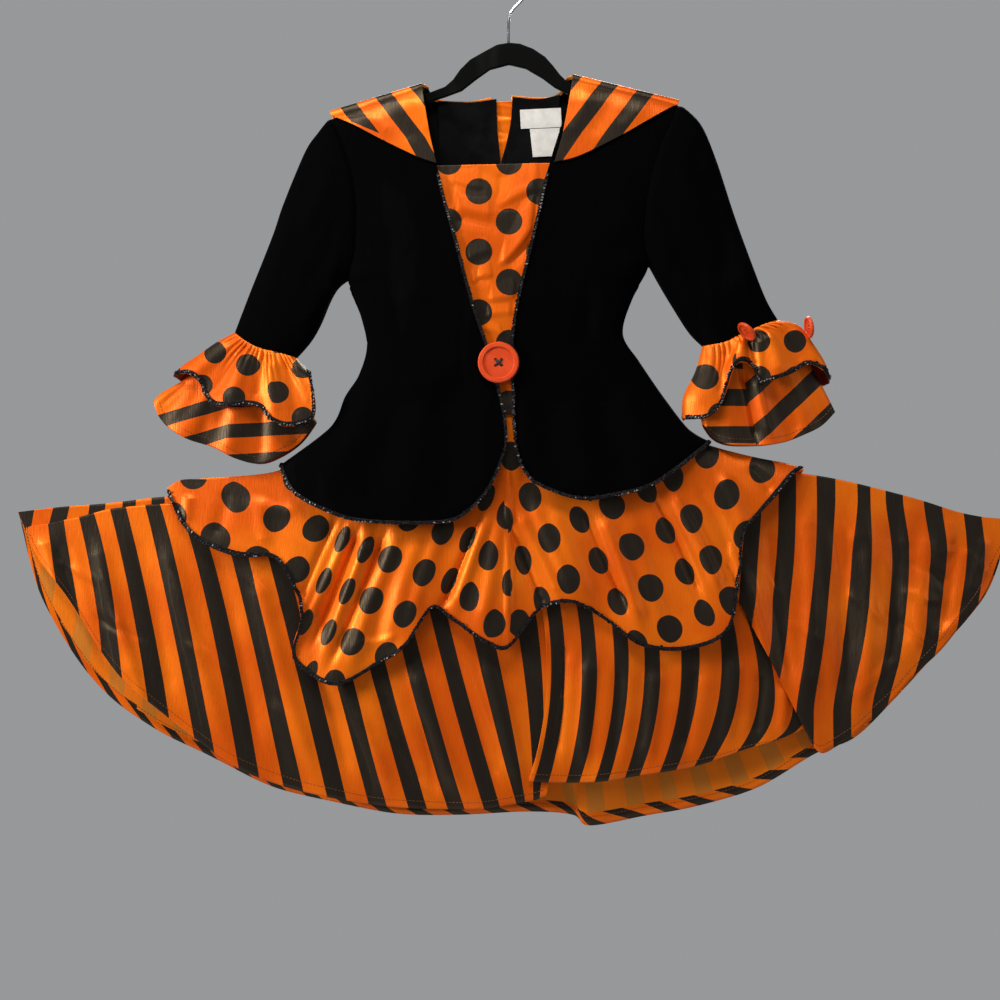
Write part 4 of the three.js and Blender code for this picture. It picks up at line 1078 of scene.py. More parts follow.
def half_map(x, down, taken, lean, origin, angle):
    """The print's lattice, and the cloth the folds have taken up; the folds lean, so it is read along them"""
    along = x + lean * (down - READ_AT)
    steps = lattice(x, down, origin, angle, OVER_PITCH)
    steps[..., 0] += np.interp(along, taken["x"], taken["across"])
    steps[..., 1] += np.interp(along, taken["x"], taken["under"])
    return steps


def overskirt_maps(x, down):
    left = half_map(x, down, TAKEN_UP, LEFT_FOLDS_LEAN, LEFT_SPOT, ROWS_LEAN)
    right = half_map(x, down, TAKEN_UP_RIGHT, RIGHT_FOLDS_LEAN, RIGHT_SPOT, -ROWS_LEAN)
    return left, right


# %% Overskirt creases
CREASES["overskirt_front"] = fold_lines(
    (-319, 522, -243, 514, 4, -1.2, 2),
    (-315, 532, -317, 562, 6, 0.9, 0),
    (-277, 524, -289, 580, 8, -0.9, 2),
    (-243, 530, -237, 588, 8, 0.9, -2),
    (-265, 538, -205, 552, 9, 0.8, -3),
    (-161, 545, -207, 652, 5, -1.5, -2),
    (-149, 552, -199, 668, 6, 2.0, 2),
    (-139, 554, -191, 685, 4, -2.3, 1),
    (-127, 558, -181, 700, 6, 2.0, -2),
    (-113, 558, -175, 708, 4, -2.4, 1),
    (-101, 560, -155, 712, 8, 1.9, -2),
    (-79, 562, -121, 695, 9, 1.0, -2),
    (-57, 556, -95, 662, 9, 1.1, -2),
    (-21, 548, -67, 656, 4, -2.6, 1),
    (-11, 540, -52, 658, 6, 2.0, -2),
    (-3, 540, -25, 672, 8, 1.3, 2),
    (3, 480, 3, 684, 3, 1.8, 0),
    (-7, 545, 45, 658, 4, -2.3, 0),
    (7, 540, 57, 646, 6, 1.7, 2),
    (23, 528, 71, 636, 7, 1.2, -2),
    (41, 540, 85, 644, 8, 1.0, 2),
    (75, 545, 123, 652, 4, -2.4, -1),
    (89, 540, 135, 672, 7, 2.0, 3),
    (117, 540, 159, 680, 9, 1.0, 3),
    (139, 522, 197, 646, 5, -3.0, 3),
    (157, 520, 215, 638, 7, 2.2, 4),
    (185, 518, 225, 600, 7, -1.0, 5),
    (211, 510, 239, 570, 8, 1.2, 3),
    (240, 505, 267, 534, 6, -0.9, 2),
    (219, 585, 233, 612, 3, 1.2, 2),
    (217, 600, 231, 630, 3, -1.0, 2),
    (-149, 680, -107, 674, 4, 0.9, -4),
)
CREASES["overskirt_back"] = fold_lines(
    (-275, 530, -285, 585, 9, 1.8, 3),
    (-185, 520, -205, 640, 10, -2.4, 5),
    (-105, 540, -113, 680, 10, 2.4, -4),
    (-35, 540, -27, 670, 10, -2.4, 4),
    (55, 540, 70, 660, 10, 2.4, -4),
    (135, 530, 167, 675, 10, -2.2, 5),
    (210, 520, 240, 600, 9, 1.8, 4),
)
print("creases:", *(len(CREASES["overskirt_" + side]["x0"]) for side in ("front", "back")))

# %% Overskirt pieces
SPOTTED = {"outside": SATIN_SPOTTED, "inside": SPOTTED_INSIDE, "slot": "satin_spotted"}
hang("overskirt_back", OVER_BACK, (176, 52), -1, ["skirt_back"], maps=overskirt_maps, seam=98.5, seed=6,
     **SPOTTED)
FRONT_FANS = ["skirt_front_left", "skirt_front_mid", "skirt_front_right"]
hang("overskirt_front", OVER_FRONT, (270, 70), 1, FRONT_FANS, maps=overskirt_maps, seam=150, seed=7,
     **SPOTTED)
print("overskirt pieces:", [n for n in PIECES if "overskirt" in n])

# %% [markdown]
# ## Bodice inset
# Spotted satin cut on the bias: its rows of spots run at 45 degrees, and the cloth drags in soft
# diagonals between the two fronts, down to the button.

# %% Inset of the bodice
INSET = {
    "top": [(-75, 208), (-15, 206.5), (51, 205)],
    "left": [(-58, 276), (-41, 340), (-25, 390)],
    "right": [(36, 274), (22, 338), (16, 390)],
    "hem": [(-13, 454), (1, 455), (15, 454)],
}
INSET_FOLDS = fold_lines(
    (-59, 220, -19, 230, 3, 0.9, -2),
    (-53, 246, -9, 256, 5, 1.4, -2),
    (-50, 262, -5, 272, 5, -1.3, 2),
    (-11, 252, 37, 228, 4, 1.5, 3),
    (11, 256, 35, 236, 3, -1.4, 1),
    (-9, 310, 29, 262, 3, 2.2, -3),
    (1, 312, 31, 280, 3, -2.0, -2),
    (-39, 302, -13, 292, 4, 1.1, 2),
    (-35, 324, -11, 316, 3, 1.5, 2),
    (-31, 316, -17, 326, 3, -1.2, -1),
    (-19, 340, 13, 334, 3, 1.3, -2),
    (-21, 348, 11, 346, 3, -1.2, -2),
    (-21, 358, 9, 354, 3, 1.1, 2),
    (-25, 370, -1, 376, 3, 1.2, 2),
    (-5, 210, -2, 255, 5, -0.7, 1),
)
print("creases of the inset:", len(INSET_FOLDS["x0"]))

# %% Inset piece
u, v = mesh_grid(70, 168)
x, down = panel(INSET)(u, v)
free = np.clip(np.minimum(u, 1 - u) * 5, 0, 1)
creased = 1.4 * folds(x, down, INSET_FOLDS) + ripple(x, down, 30, 0.5, 1)
out = body_out(FRONT_DEPTH, x, down) + UNDER + creased * free
out = lie_over(x, down, out, ["overskirt_front"], gap=1.1)
RIM_SLOPE = 0.12  # it rises over the rim below it in a gentle slope
for row in range(len(out) - 2, -1, -1):
    out[row] = np.maximum(out[row], out[row + 1] - RIM_SLOPE * (down[row + 1] - down[row]))
INSET_SPOTS = ((-26, 234), 45, 42.5)  # one spot's middle, the lean of the rows, the pitch
cloth("bodice_inset", place(x, down, out, 1), lattice(x, down, *INSET_SPOTS), **SPOTTED)
print("inset spots stand", INSET_SPOTS[2], "mm apart")

# %% [markdown]
# ## Velvet jacket
# Velvet is thick and soft, so its folds are broad and shallow. They start where the cloth is held, at the
# armholes, the button and the waist, and run out towards the hems.

# %% Creases of the jacket fronts
CREASES["jacket_front_left"] = fold_lines(
    (-153, 302, -107, 362, 10, 1.8, 4),
    (-153, 315, -85, 392, 12, -1.6, 6),
    (-143, 260, -85, 290, 12, 1.1, -4),
    (-35, 392, -105, 432, 11, 1.8, 5),
    (-27, 412, -75, 460, 10, -1.4, 4),
    (-133, 420, -187, 540, 14, 2.4, 8),
    (-107, 424, -143, 556, 13, -2.4, 6),
    (-81, 426, -103, 560, 13, 2.4, 4),
    (-53, 428, -61, 558, 12, -1.8, 2),
    (-23, 432, -23, 540, 9, 1.5, 2),
    (-105, 160, -113, 300, 14, 1.2, -6),
    (-69, 220, -75, 370, 10, -1.0, 6),
)
CREASES["jacket_front_right"] = fold_lines(
    (140, 295, 91, 352, 10, 1.8, -4),
    (135, 308, 69, 390, 12, -1.6, -6),
    (135, 252, 80, 280, 12, 1.1, 4),
    (19, 392, 85, 428, 11, 1.8, -5),
    (17, 414, 61, 460, 10, -1.4, -4),
    (113, 418, 167, 510, 14, 2.4, -8),
    (91, 422, 127, 528, 13, -2.4, -6),
    (67, 426, 91, 536, 13, 2.4, -4),
    (41, 430, 55, 532, 12, -1.8, -2),
    (19, 432, 25, 510, 9, 1.5, -2),
    (107, 150, 113, 290, 14, 1.2, 6),
    (55, 230, 61, 370, 10, -1.0, -6),
)
print("creases of the fronts:", len(CREASES["jacket_front_left"]["x0"]) * 2)

# %% Jacket backs
LEFT_BACK = {
    "top": [(-173, 160), (-125, 144), (-80, 128), (-72, 139), (-40, 142), (-15, 138)],
    "left": LEFT_FRONT["left"],
    "right": [(-8, 170), (-3.5, 200), (-1, 300), (0, 420)],
    "hem": [(-224, 506), (-205, 530), (-160, 547), (-105, 554), (-55, 556), (0, 557)],
}
RIGHT_BACK = {
    "top": [(9, 136), (40, 138), (57, 133), (66, 120), (120, 134), (174, 147)],
    "left": [(3, 170), (-2, 200), (-0.2, 300), (0.6, 420)],
    "right": RIGHT_FRONT["right"],
    "hem": [(0.6, 557), (55, 554), (105, 544), (145, 528), (180, 504), (205, 483)],
}
CREASES["jacket_back_left"] = fold_lines(
    (-151, 310, -95, 370, 11, 1.8, 5),
    (-7, 400, -75, 440, 11, 1.6, 4),
    (-125, 424, -170, 535, 14, 2.4, 7),
    (-85, 428, -107, 548, 13, -2.2, 4),
    (-43, 428, -50, 550, 12, 2.2, 2),
    (-85, 190, -105, 340, 14, 1.2, 6),
)
CREASES["jacket_back_right"] = fold_lines(
    (137, 302, 85, 366, 11, 1.8, -5),
    (7, 400, 75, 438, 11, 1.6, -4),
    (117, 422, 163, 510, 14, 2.4, -7),
    (83, 428, 107, 538, 13, -2.2, -4),
    (40, 428, 50, 548, 12, 2.2, -2),
    (85, 190, 101, 340, 14, 1.2, -6),
)
print("creases of the backs:", len(CREASES["jacket_back_left"]["x0"]) * 2)

# %% Jacket panels
JACKET = {
    "jacket_front_left": (LEFT_FRONT, FRONT_DEPTH, 1, ["overskirt_front"]),
    "jacket_front_right": (RIGHT_FRONT, FRONT_DEPTH, 1, ["overskirt_front", "skirt_front_right"]),
    "jacket_back_left": (LEFT_BACK, BACK_DEPTH, -1, ["overskirt_back", "skirt_back"]),
    "jacket_back_right": (RIGHT_BACK, BACK_DEPTH, -1, ["overskirt_back", "skirt_back"]),
}
NAPPED = {"outside": VELVET, "inside": VELVET_WRONG, "slot": "velvet_black"}
for seed, (node, (cut, depths, side, below)) in enumerate(JACKET.items()):
    u, v = mesh_grid(72, 120)
    x, down = panel(cut)(u, v)
    out = body_out(depths, x, down)
    held = np.clip(np.minimum(u, 1 - u) * 8, 0, 1) * np.clip(v * 6, 0, 1)
    out = out + (folds(x, down, CREASES[node]) * 0.9 + 0.4 + ripple(x, down, 55, 0.5, seed + 10)) * held
    out = lie_over(x, down, out, below, side)
    cloth(node, place(x, down, out, side), flat_map(x, down), side, **NAPPED)
print("jacket panels:", len(JACKET))

# %% [markdown]
# Each sleeve is one tube, wide at the armhole and narrow above the cuff. A tube goes all round, so its
# front and back are drawn as one ring of points.


# %% Rings and sleeves
TUBE_EDGE = 0.8  # how far a tube's side edges stand out
SLEEVE_DEEP = (17, 13)  # at the armhole and at the cuff
HEAD_IN, HEAD_SUNK = 2.2, 1.9  # how far the armhole's edge is tucked under the jacket


def ring(front, back, across, along):
    """front and back give x, down and out; together they make one ring at each level"""
    u, v = mesh_grid(across, along)
    near, far = front(u, v), back(u[:, ::-1], v)
    return np.concatenate([place(*near, 1), place(*far, -1)], axis=1)


def sleeve_face(cut, shoulder, creases, seed):
    at = panel(cut)

    def face(u, v):
        x, down = at(u, v)
        tuck = np.clip(1 - v * 60, 0, 1)
        x = x + tuck * math.copysign(HEAD_IN, -cut["top"][0][0])
        head = head_depth(shoulder, down) + SEAM / 2 + CLOTH - HEAD_SUNK * tuck
        round_out = TUBE_EDGE + rounded(u) * mix(*SLEEVE_DEEP, v)
        calm = np.clip(np.minimum(u, 1 - u) * 6, 0, 1) * np.clip(v * 5, 0, 1)
        lift = (folds(x, down, creases) + ripple(x, down, 50, 0.5, seed)) * calm
        return x, down, mix(head, round_out, round_rise(v / 0.3)) + lift

    return face


# %% Sleeve cuts and creases
LEFT_SLEEVE = {
    "top": [(-174.5, 160), (-158, 201), (-150, 245), (-151, 290), (-157.5, 320)],
    "left": [(-185, 173), (-199, 193), (-220, 243), (-232, 278), (-255, 336)],
    "right": [(-167, 328), (-175, 341), (-185, 365), (-195, 382)],
    "hem": [(-269, 373), (-257, 382), (-243, 389), (-225, 393), (-209, 398)],
}
RIGHT_SLEEVE = {
    "top": [(175.5, 147), (155, 191), (143, 240), (140, 280), (144.5, 306)],
    "left": [(195, 166), (210, 200), (228, 255), (245, 302), (260, 340)],
    "right": [(155, 325), (170, 350), (185, 373)],
    "hem": [(272, 361), (255, 366), (236, 375), (217, 383), (198, 386)],
}
CREASES["sleeve_left"] = fold_lines(
    (-167, 190, -205, 280, 9, 1.6, 5),
    (-155, 230, -205, 340, 9, -1.5, 6),
    (-159, 290, -209, 376, 8, 1.6, 5),
    (-205, 240, -239, 360, 8, 1.3, -4),
    (-187, 190, -209, 250, 7, -1.0, 3),
    (-175, 310, -193, 375, 6, -1.2, 3),
)
CREASES["sleeve_right"] = fold_lines(
    (167, 180, 203, 265, 9, 1.6, -5),
    (147, 225, 201, 330, 9, -1.5, -6),
    (147, 275, 207, 365, 8, 1.6, -5),
    (209, 230, 243, 345, 8, 1.3, 4),
    (187, 180, 211, 240, 7, -1.0, -3),
    (163, 300, 187, 365, 6, -1.2, -3),
)
print("sleeve hems are cut", LEFT_SLEEVE["hem"][-1][0] - LEFT_SLEEVE["hem"][0][0], "mm wide at the left")

# %% Sleeves
for node, cut, shoulder, seed in (
        ("sleeve_left", LEFT_SLEEVE, "left", 21), ("sleeve_right", RIGHT_SLEEVE, "right", 22)):
    front = sleeve_face(cut, SHOULDERS[shoulder], CREASES[node], seed)
    back = sleeve_face(cut, SHOULDERS[shoulder], CREASES[node], seed + 5)
    grid = ring(front, back, 48, 90)
    cloth(node, grid, flat_map(grid[..., 0], -grid[..., 2]), wraps=True, **NAPPED)
print("jacket pieces:", [n for n in PIECES if "jacket" in n or "sleeve" in n])

# %% [markdown]
# ## Collar
# Two wide flaps of striped satin lie on the shoulders, each with a back half over the ridge. The stripes
# run down the flap in gentle curves, because the flap was cut across the cloth and then turned.

# %% Collar flaps
COLLAR_LIFT = WALL + 1.8
RIDGE_ROUND = 7
LEFT_RIDGE = [(-175, 152), (-83, 124)]
RIGHT_RIDGE = [(174, 141), (68, 115)]
COLLARS = {
    "collar_left": {
        "ridge": LEFT_RIDGE,
        "top": [(-175, 152), (-129, 138), (-83, 124)],
        "left": [(-174.4, 154)],
        "right": [(-79, 152), (-74, 180)],
        "hem": [(-173, 156), (-147, 169), (-121, 183), (-88, 199), (-68, 206)],
    },
    "collar_right": {
        "ridge": RIGHT_RIDGE,
        "top": [(68, 115), (121, 128), (174, 141)],
        "left": [(63, 145), (57, 177)],
        "right": [(173.5, 143)],
        "hem": [(49, 205), (73, 199), (110, 181), (143, 162), (172, 145)],
    },
    "collar_back_left": {
        "ridge": LEFT_RIDGE,
        "top": [(-175, 152), (-129, 138), (-83, 124), (-71, 136), (-40, 139), (-13, 135)],
        "left": [(-169, 164)],
        "right": [(-9, 165)],
        "hem": [(-160, 176), (-125, 190), (-85, 200), (-45, 205), (-5, 206)],
    },
    "collar_back_right": {
        "ridge": RIGHT_RIDGE,
        "top": [(7, 133), (40, 135), (55, 130), (68, 115), (121, 128), (174, 141)],
        "left": [(4, 165)],
        "right": [(169, 153)],
        "hem": [(-1, 206), (40, 205), (85, 198), (127, 186), (162, 166)],
    },
}
print("collar cuts:", len(COLLARS))

# %% Collar stripes
STRIPE_PERIOD = 42
LEFT_STRIPE_AT, RIGHT_STRIPE_AT = -133, 78
TIP_STRIPE = 1.98  # the stripe that fills the right flap's tip
TURNED_BELOW, TURNED_BEYOND = 0.86, -121  # where the left flap's edge is turned and shows one colour
TURNED_SHARE = 0.7
LEFT_LEAN = table(
    "down shift", (110, -18), (125, -7), (138, 3), (158, 17), (180, 34), (200, 45), (210, 50))
RIGHT_LEAN = table(
    "down shift", (110, -26), (124, -17), (140, -5), (150, 2), (175, 21), (200, 38), (210, 44))


def collar_map(x, down, v):
    left = (x - np.interp(down, LEFT_LEAN["down"], LEFT_LEAN["shift"]) - LEFT_STRIPE_AT) / STRIPE_PERIOD
    right = (x + np.interp(down, RIGHT_LEAN["down"], RIGHT_LEAN["shift"]) - RIGHT_STRIPE_AT) / STRIPE_PERIOD
    across = np.where(x < 0, left, np.minimum(right, TIP_STRIPE))
    turned = (v > TURNED_BELOW) & (x < TURNED_BEYOND)
    across = np.where(turned, np.floor(across) + TURNED_SHARE, across)
    return stripe_map(across, down)


# %% Collar pieces
COLLAR_FOLDS = fold_lines(
    (-153, 146, -113, 180, 7, 0.8, 2),
    (-121, 137, -87, 186, 8, -0.7, -3),
    (-97, 132, -75, 180, 6, 0.7, 2),
    (87, 124, 61, 180, 7, 0.8, 3),
    (117, 132, 85, 182, 8, -0.7, -3),
    (143, 139, 111, 174, 7, 0.7, 2),
)
for node, cut in COLLARS.items():
    side = -1 if "back" in node else 1
    depths = BACK_DEPTH if side < 0 else FRONT_DEPTH
    under = [n for n in PIECES if n.startswith("jacket_back" if side < 0 else "jacket_front")]
    u, v = mesh_grid(96, 60)
    x, down = panel(cut)(u, v)
    (tip_x, tip_down), (neck_x, neck_down) = cut["ridge"]
    ridge = mix(tip_down, neck_down, (x - tip_x) / (neck_x - tip_x))
    out = body_out(depths, x, down) + COLLAR_LIFT + folds(x, down, COLLAR_FOLDS) * np.clip(v * 4, 0, 1)
    out = lie_over(x, down, out, under, side, 0.4)
    out = mix(SEAM / 2, out, round_rise((down - ridge) / RIDGE_ROUND))
    cloth(node, place(x, down, out, side), collar_map(x, down, v), side, **STRIPED)
print("collar flaps:", [n for n in PIECES if "collar" in n])

# %% [markdown]
# ## Cuffs
# Two ruffles are gathered into each sleeve's seam: a spotted one on top and a striped one under it. The
# gathers start as many small pleats at the seam and open into a few large waves at the hem.


# %% Ruffle cuts
def seam_beside(line, across, down, inset=0.0):
    t = mix(inset, 1 - inset, even(len(line) - 1))
    x, under = edge(line)(t)
    return list(zip(x + across, under + down))


LEFT_DOTS = {
    "top": seam_beside(LEFT_SLEEVE["hem"], -0.2, 0.4),
    "left": [(-287, 383), (-307, 397), (-323, 408)],
    "right": [(-203, 405)],
    "hem": [(-331, 417), (-315, 415), (-303, 423), (-296, 438), (-283, 448), (-257, 447),
            (-240, 450), (-229, 462), (-213, 468), (-190, 460), (-188, 437), (-197, 411)],
}
LEFT_DOTS_BACK = {**LEFT_DOTS, "hem": [(-331, 417), (-310, 432), (-280, 442), (-250, 448), (-220, 454),
                                       (-199, 442), (-197, 411)]}
LEFT_STRIPES = {
    "top": seam_beside(LEFT_SLEEVE["hem"], -0.6, 1.2, 0.045),
    "left": [(-290, 397), (-318, 419), (-342, 433)],
    "right": [(-206, 418), (-199, 440)],
    "hem": [(-350, 441), (-345, 456), (-333, 469), (-314, 480), (-289, 488), (-267, 499),
            (-245, 504), (-225, 497), (-204, 483), (-189, 463)],
}
RIGHT_DOTS = {
    "top": seam_beside(RIGHT_SLEEVE["hem"], 0.2, 0.4),
    "left": [(294, 368), (308, 387), (320, 408)],
    "right": [(191, 412), (179, 437)],
    "hem": [(323, 424), (315, 412), (300, 406), (283, 415), (265, 422), (252, 425),
            (246, 412), (238, 405), (229, 406), (224, 415), (221, 426), (217, 438),
            (211, 449), (199, 459), (178, 459)],
}
RIGHT_DOTS_BACK = {**RIGHT_DOTS, "hem": [(323, 424), (301, 432), (275, 440), (245, 448), (215, 454),
                                         (195, 458), (178, 459)]}
RIGHT_STRIPES = {
    "top": seam_beside(RIGHT_SLEEVE["hem"], 0.6, 1.2, 0.045),
    "left": [(285, 380), (301, 400), (317, 428)],
    "right": [(199, 414), (194, 438)],
    "hem": [(329, 452), (315, 466), (295, 476), (276, 483), (250, 486), (223, 485),
            (207, 478), (198, 464)],
}
DOTS_SHAPE = {"seam": 13, "hem": 23, "wave": 3.2, "waves": 3.5, "turn": 0.2, "pleats": 17, "pleat": 1.0}
STRIPES_SHAPE = {"seam": 11, "hem": 13, "wave": 2.6, "waves": 4, "turn": 0.6, "pleats": 15, "pleat": 0.6}
print("pleats of one ruffle:", DOTS_SHAPE["pleats"], "above,", STRIPES_SHAPE["pleats"], "below")

# %% Ruffle creases
CREASES["ruffle_dots_left"] = fold_lines(
    (-273, 380, -309, 416, 6, 1.6, 2),
    (-263, 386, -291, 440, 5, -2.2, 2),
    (-253, 390, -269, 444, 6, 2.0, -2),
    (-243, 392, -247, 444, 5, -2.0, 2),
    (-233, 394, -225, 460, 6, 2.2, -2),
    (-221, 396, -205, 464, 5, -1.8, 1),
    (-213, 400, -193, 450, 4, 1.4, 1),
)
CREASES["ruffle_dots_right"] = fold_lines(
    (203, 388, 189, 452, 6, 1.8, -2),
    (217, 386, 211, 440, 5, -2.0, 2),
    (231, 380, 235, 402, 5, 1.6, 0),
    (240, 376, 243, 414, 4, -6.0, 0),
    (252, 374, 252, 424, 3, 2.4, 0),
    (259, 370, 271, 418, 6, 2.0, 2),
    (271, 366, 295, 406, 6, -1.8, -2),
    (281, 364, 313, 408, 5, 1.6, 2),
)
CREASES["ruffle_stripes_left"] = fold_lines(
    (-311, 418, -345, 448, 2, -3.2, 0),
    (-315, 414, -345, 436, 4, 1.6, 1),
    (-309, 424, -335, 464, 6, 1.6, 2),
    (-291, 430, -305, 482, 6, -2.0, 2),
    (-267, 440, -273, 494, 7, 1.8, -2),
    (-243, 444, -243, 500, 6, -2.0, 2),
    (-219, 450, -215, 488, 6, 1.6, 1),
)
CREASES["ruffle_stripes_right"] = fold_lines(
    (211, 430, 207, 474, 6, 1.6, 2),
    (227, 412, 227, 482, 6, -1.4, 2),
    (235, 404, 251, 486, 4, -6.5, 0),
    (247, 412, 263, 480, 4, 3.4, 0),
    (279, 426, 291, 476, 6, -2.0, 2),
    (301, 420, 319, 460, 6, 1.6, 1),
)


# %% One face of a ruffle
def ruffle_face(cut, shape, creases, seed):
    at = panel(cut)

    def face(u, v):
        x, down = at(u, v)
        wave = shape["wave"] * np.sin(np.pi * (2 * shape["waves"] * u + shape["turn"])) * v
        uneven = 1 + 0.35 * np.sin(u * 23 + seed)
        pleats = shape["pleat"] * np.sin(2 * np.pi * shape["pleats"] * (u + 0.012 * np.sin(u * 31))) * uneven
        gathers = pleats * np.exp(-((v - 0.12) / 0.28) ** 2) * np.clip(v * 14, 0, 1)
        calm = np.clip(np.minimum(u, 1 - u) * 9, 0, 1) * np.clip(v * 5, 0, 1)
        lift = folds(x, down, creases) * 0.8 * calm + gathers * np.clip(np.minimum(u, 1 - u) * 9, 0, 1)
        return x, down, TUBE_EDGE + rounded(u) * (mix(shape["seam"], shape["hem"], v) + wave) + lift

    return face


# %% [markdown]
# Each ruffle was cut across or along the print as the cloth allowed, so each has its own lean and pitch.

# %% Prints of the cuffs
INNER_LOBE_FROM = 57
# On each cuff: one spot's middle, the lean of the rows and the pitch
CUFF_SPOTS = {
    "left_outer": ((-254.8, 406.5), 21, 35),
    "left_inner": ((-250.2, 408.7), 45, 35.5),
    "right": ((287, 383), 0, 36),
    "right_folded": ((199, 418), -20, 41),
}
GRAIN_TURNS_AT, GRAIN_TURNS_OVER = -247, 18
LEFT_ARC = table("x rise", (-350, 0), (-275, 22), (-189, 27))
LEFT_STRIPES_DOWN, RIGHT_STRIPE_SHIFT = 456.8, 0.23
LOWER_PITCH, UPPER_PITCH = 30, 90
IN_STRIPES = {**STRIPED, "inside": CUFF_INSIDE_PAINTED_SHADE}
IN_SPOTS = {**SPOTTED, "inside": CUFF_INSIDE_PAINTED_SHADE}
RUFFLES = {
    "ruffle_stripes_left": (LEFT_STRIPES, LEFT_STRIPES, STRIPES_SHAPE, IN_STRIPES, 31),
    "ruffle_stripes_right": (RIGHT_STRIPES, RIGHT_STRIPES, STRIPES_SHAPE, IN_STRIPES, 32),
    "ruffle_dots_left": (LEFT_DOTS, LEFT_DOTS_BACK, DOTS_SHAPE, IN_SPOTS, 33),
    "ruffle_dots_right": (RIGHT_DOTS, RIGHT_DOTS_BACK, DOTS_SHAPE, IN_SPOTS, 34),
}


def cuff_map(node, x, down):
    """Stripes run round the under ruffles; spots on the upper ones follow each ruffle's own grain"""
    if node == "ruffle_stripes_left":
        level = down + np.interp(x, LEFT_ARC["x"], LEFT_ARC["rise"]) - LEFT_STRIPES_DOWN
        return stripe_map(np.where(level > 0, level / LOWER_PITCH, level / UPPER_PITCH - 0.01), x)
    if node == "ruffle_stripes_right":
        slanted = 0.684 * (x - 263) + 0.73 * (down - 462)
        return stripe_map(RIGHT_STRIPE_SHIFT + slanted / 36, x)
    if node == "ruffle_dots_left":
        turned = np.clip((x - GRAIN_TURNS_AT) / GRAIN_TURNS_OVER, 0, 1)[..., None]
        outer, inner = (lattice(x, down, *CUFF_SPOTS[part]) for part in ("left_outer", "left_inner"))
        return mix(outer, inner, turned)
    return lattice(x, down, *CUFF_SPOTS["right"])


def inner_lobe_map(node, x, down):
    """The right cuff folds inward in the middle; past the fold its cloth lies another way round"""
    if node == "ruffle_stripes_right":
        return stripe_map(RIGHT_STRIPE_SHIFT + (down - 438) / 37, x)
    return lattice(x, down, *CUFF_SPOTS["right_folded"])


# %% The four ruffles
for node, (front_cut, back_cut, shape, looks, seed) in RUFFLES.items():
    front = ruffle_face(front_cut, shape, CREASES[node], seed)
    back = ruffle_face(back_cut, shape, CREASES[node], seed + 7)
    grid = ring(front, back, 96, 56)
    x, down = grid[..., 0], -grid[..., 2]
    seam = (INNER_LOBE_FROM, inner_lobe_map(node, x, down)) if node.endswith("right") else None
    cloth(node, grid, cuff_map(node, x, down), wraps=True, thick=0.9, seam=seam, **looks)
print("ruffles:", len(RUFFLES))

# %% [markdown]
# ## Sequin braid
# A narrow black braid edges the fronts and every spotted hem. It is a thin cord with small black sequins
# sewn on it, each tipped its own way, so now and then one catches a lamp.


# %% Points on a finished sheet
TRIM_WIDE = 5
SEQUIN_RADIUS = 1.9
SEQUIN_SIDES = 7
TIPPED = 0.5
FLAT = 0.1
LOOSE_SHARE = 0.08
SEQUIN_LIFT, CUPPED, STRAYS = 0.55, 0.35, 0.12
CORD_ROWS, CORD_LIFT, CORD_ROUND = 6, 0.45, 0.7


def sample(entry, u, v):
    """Points and normals of a finished sheet at shares u across and v along"""
    grid = entry["skin"]
    rows, columns = grid.shape[:2]
    i, j = np.clip(u, 0, 1) * (columns - 1), np.clip(v, 0, 1) * (rows - 1)
    i0, j0 = np.minimum(i.astype(int), columns - 2), np.minimum(j.astype(int), rows - 2)
    f, g = (i - i0)[..., None], (j - j0)[..., None]

    def between(values):
        return ((values[j0, i0] * (1 - f) + values[j0, i0 + 1] * f) * (1 - g)
                + (values[j0 + 1, i0] * (1 - f) + values[j0 + 1, i0 + 1] * f) * g)

    return between(grid), between(entry["normal"])


def reach_of(line):
    return np.concatenate([[0], np.cumsum(np.linalg.norm(np.diff(line, axis=0), axis=1))])


def along(line, reach, stops):
    """The points of a line at given distances from its start"""
    return np.stack([np.interp(stops, reach, line[:, k]) for k in range(3)], axis=-1)


# %% Sequins
def sequins(points, normals, wide, rng):
    """Small cupped discs along a braid, each one turned and tipped a little differently"""
    angles = np.linspace(0, 2 * math.pi, SEQUIN_SIDES, endpoint=False)
    all_points, all_faces = [], []
    for point, normal in zip(points, normals):
        lean = normal + rng.normal(0, TIPPED if rng.random() < LOOSE_SHARE else FLAT, 3)
        lean /= np.linalg.norm(lean)
        first = np.cross(lean, (0.3, 0.5, 0.8))
        first /= np.linalg.norm(first)
        second = np.cross(lean, first)
        size = SEQUIN_RADIUS * rng.uniform(0.85, 1.1)
        centre = point + normal * SEQUIN_LIFT + np.cross(normal, first) * rng.normal(0, wide * STRAYS)
        rim = centre + size * (np.outer(np.cos(angles), first) + np.outer(np.sin(angles), second))
        start = len(all_points) * (SEQUIN_SIDES + 1)
        all_points.append(np.vstack([centre - lean * CUPPED, rim]))
        for k in range(SEQUIN_SIDES):
            all_faces.append((start, start + 1 + k, start + 1 + (k + 1) % SEQUIN_SIDES))
    return np.vstack(all_points), np.array(all_faces)


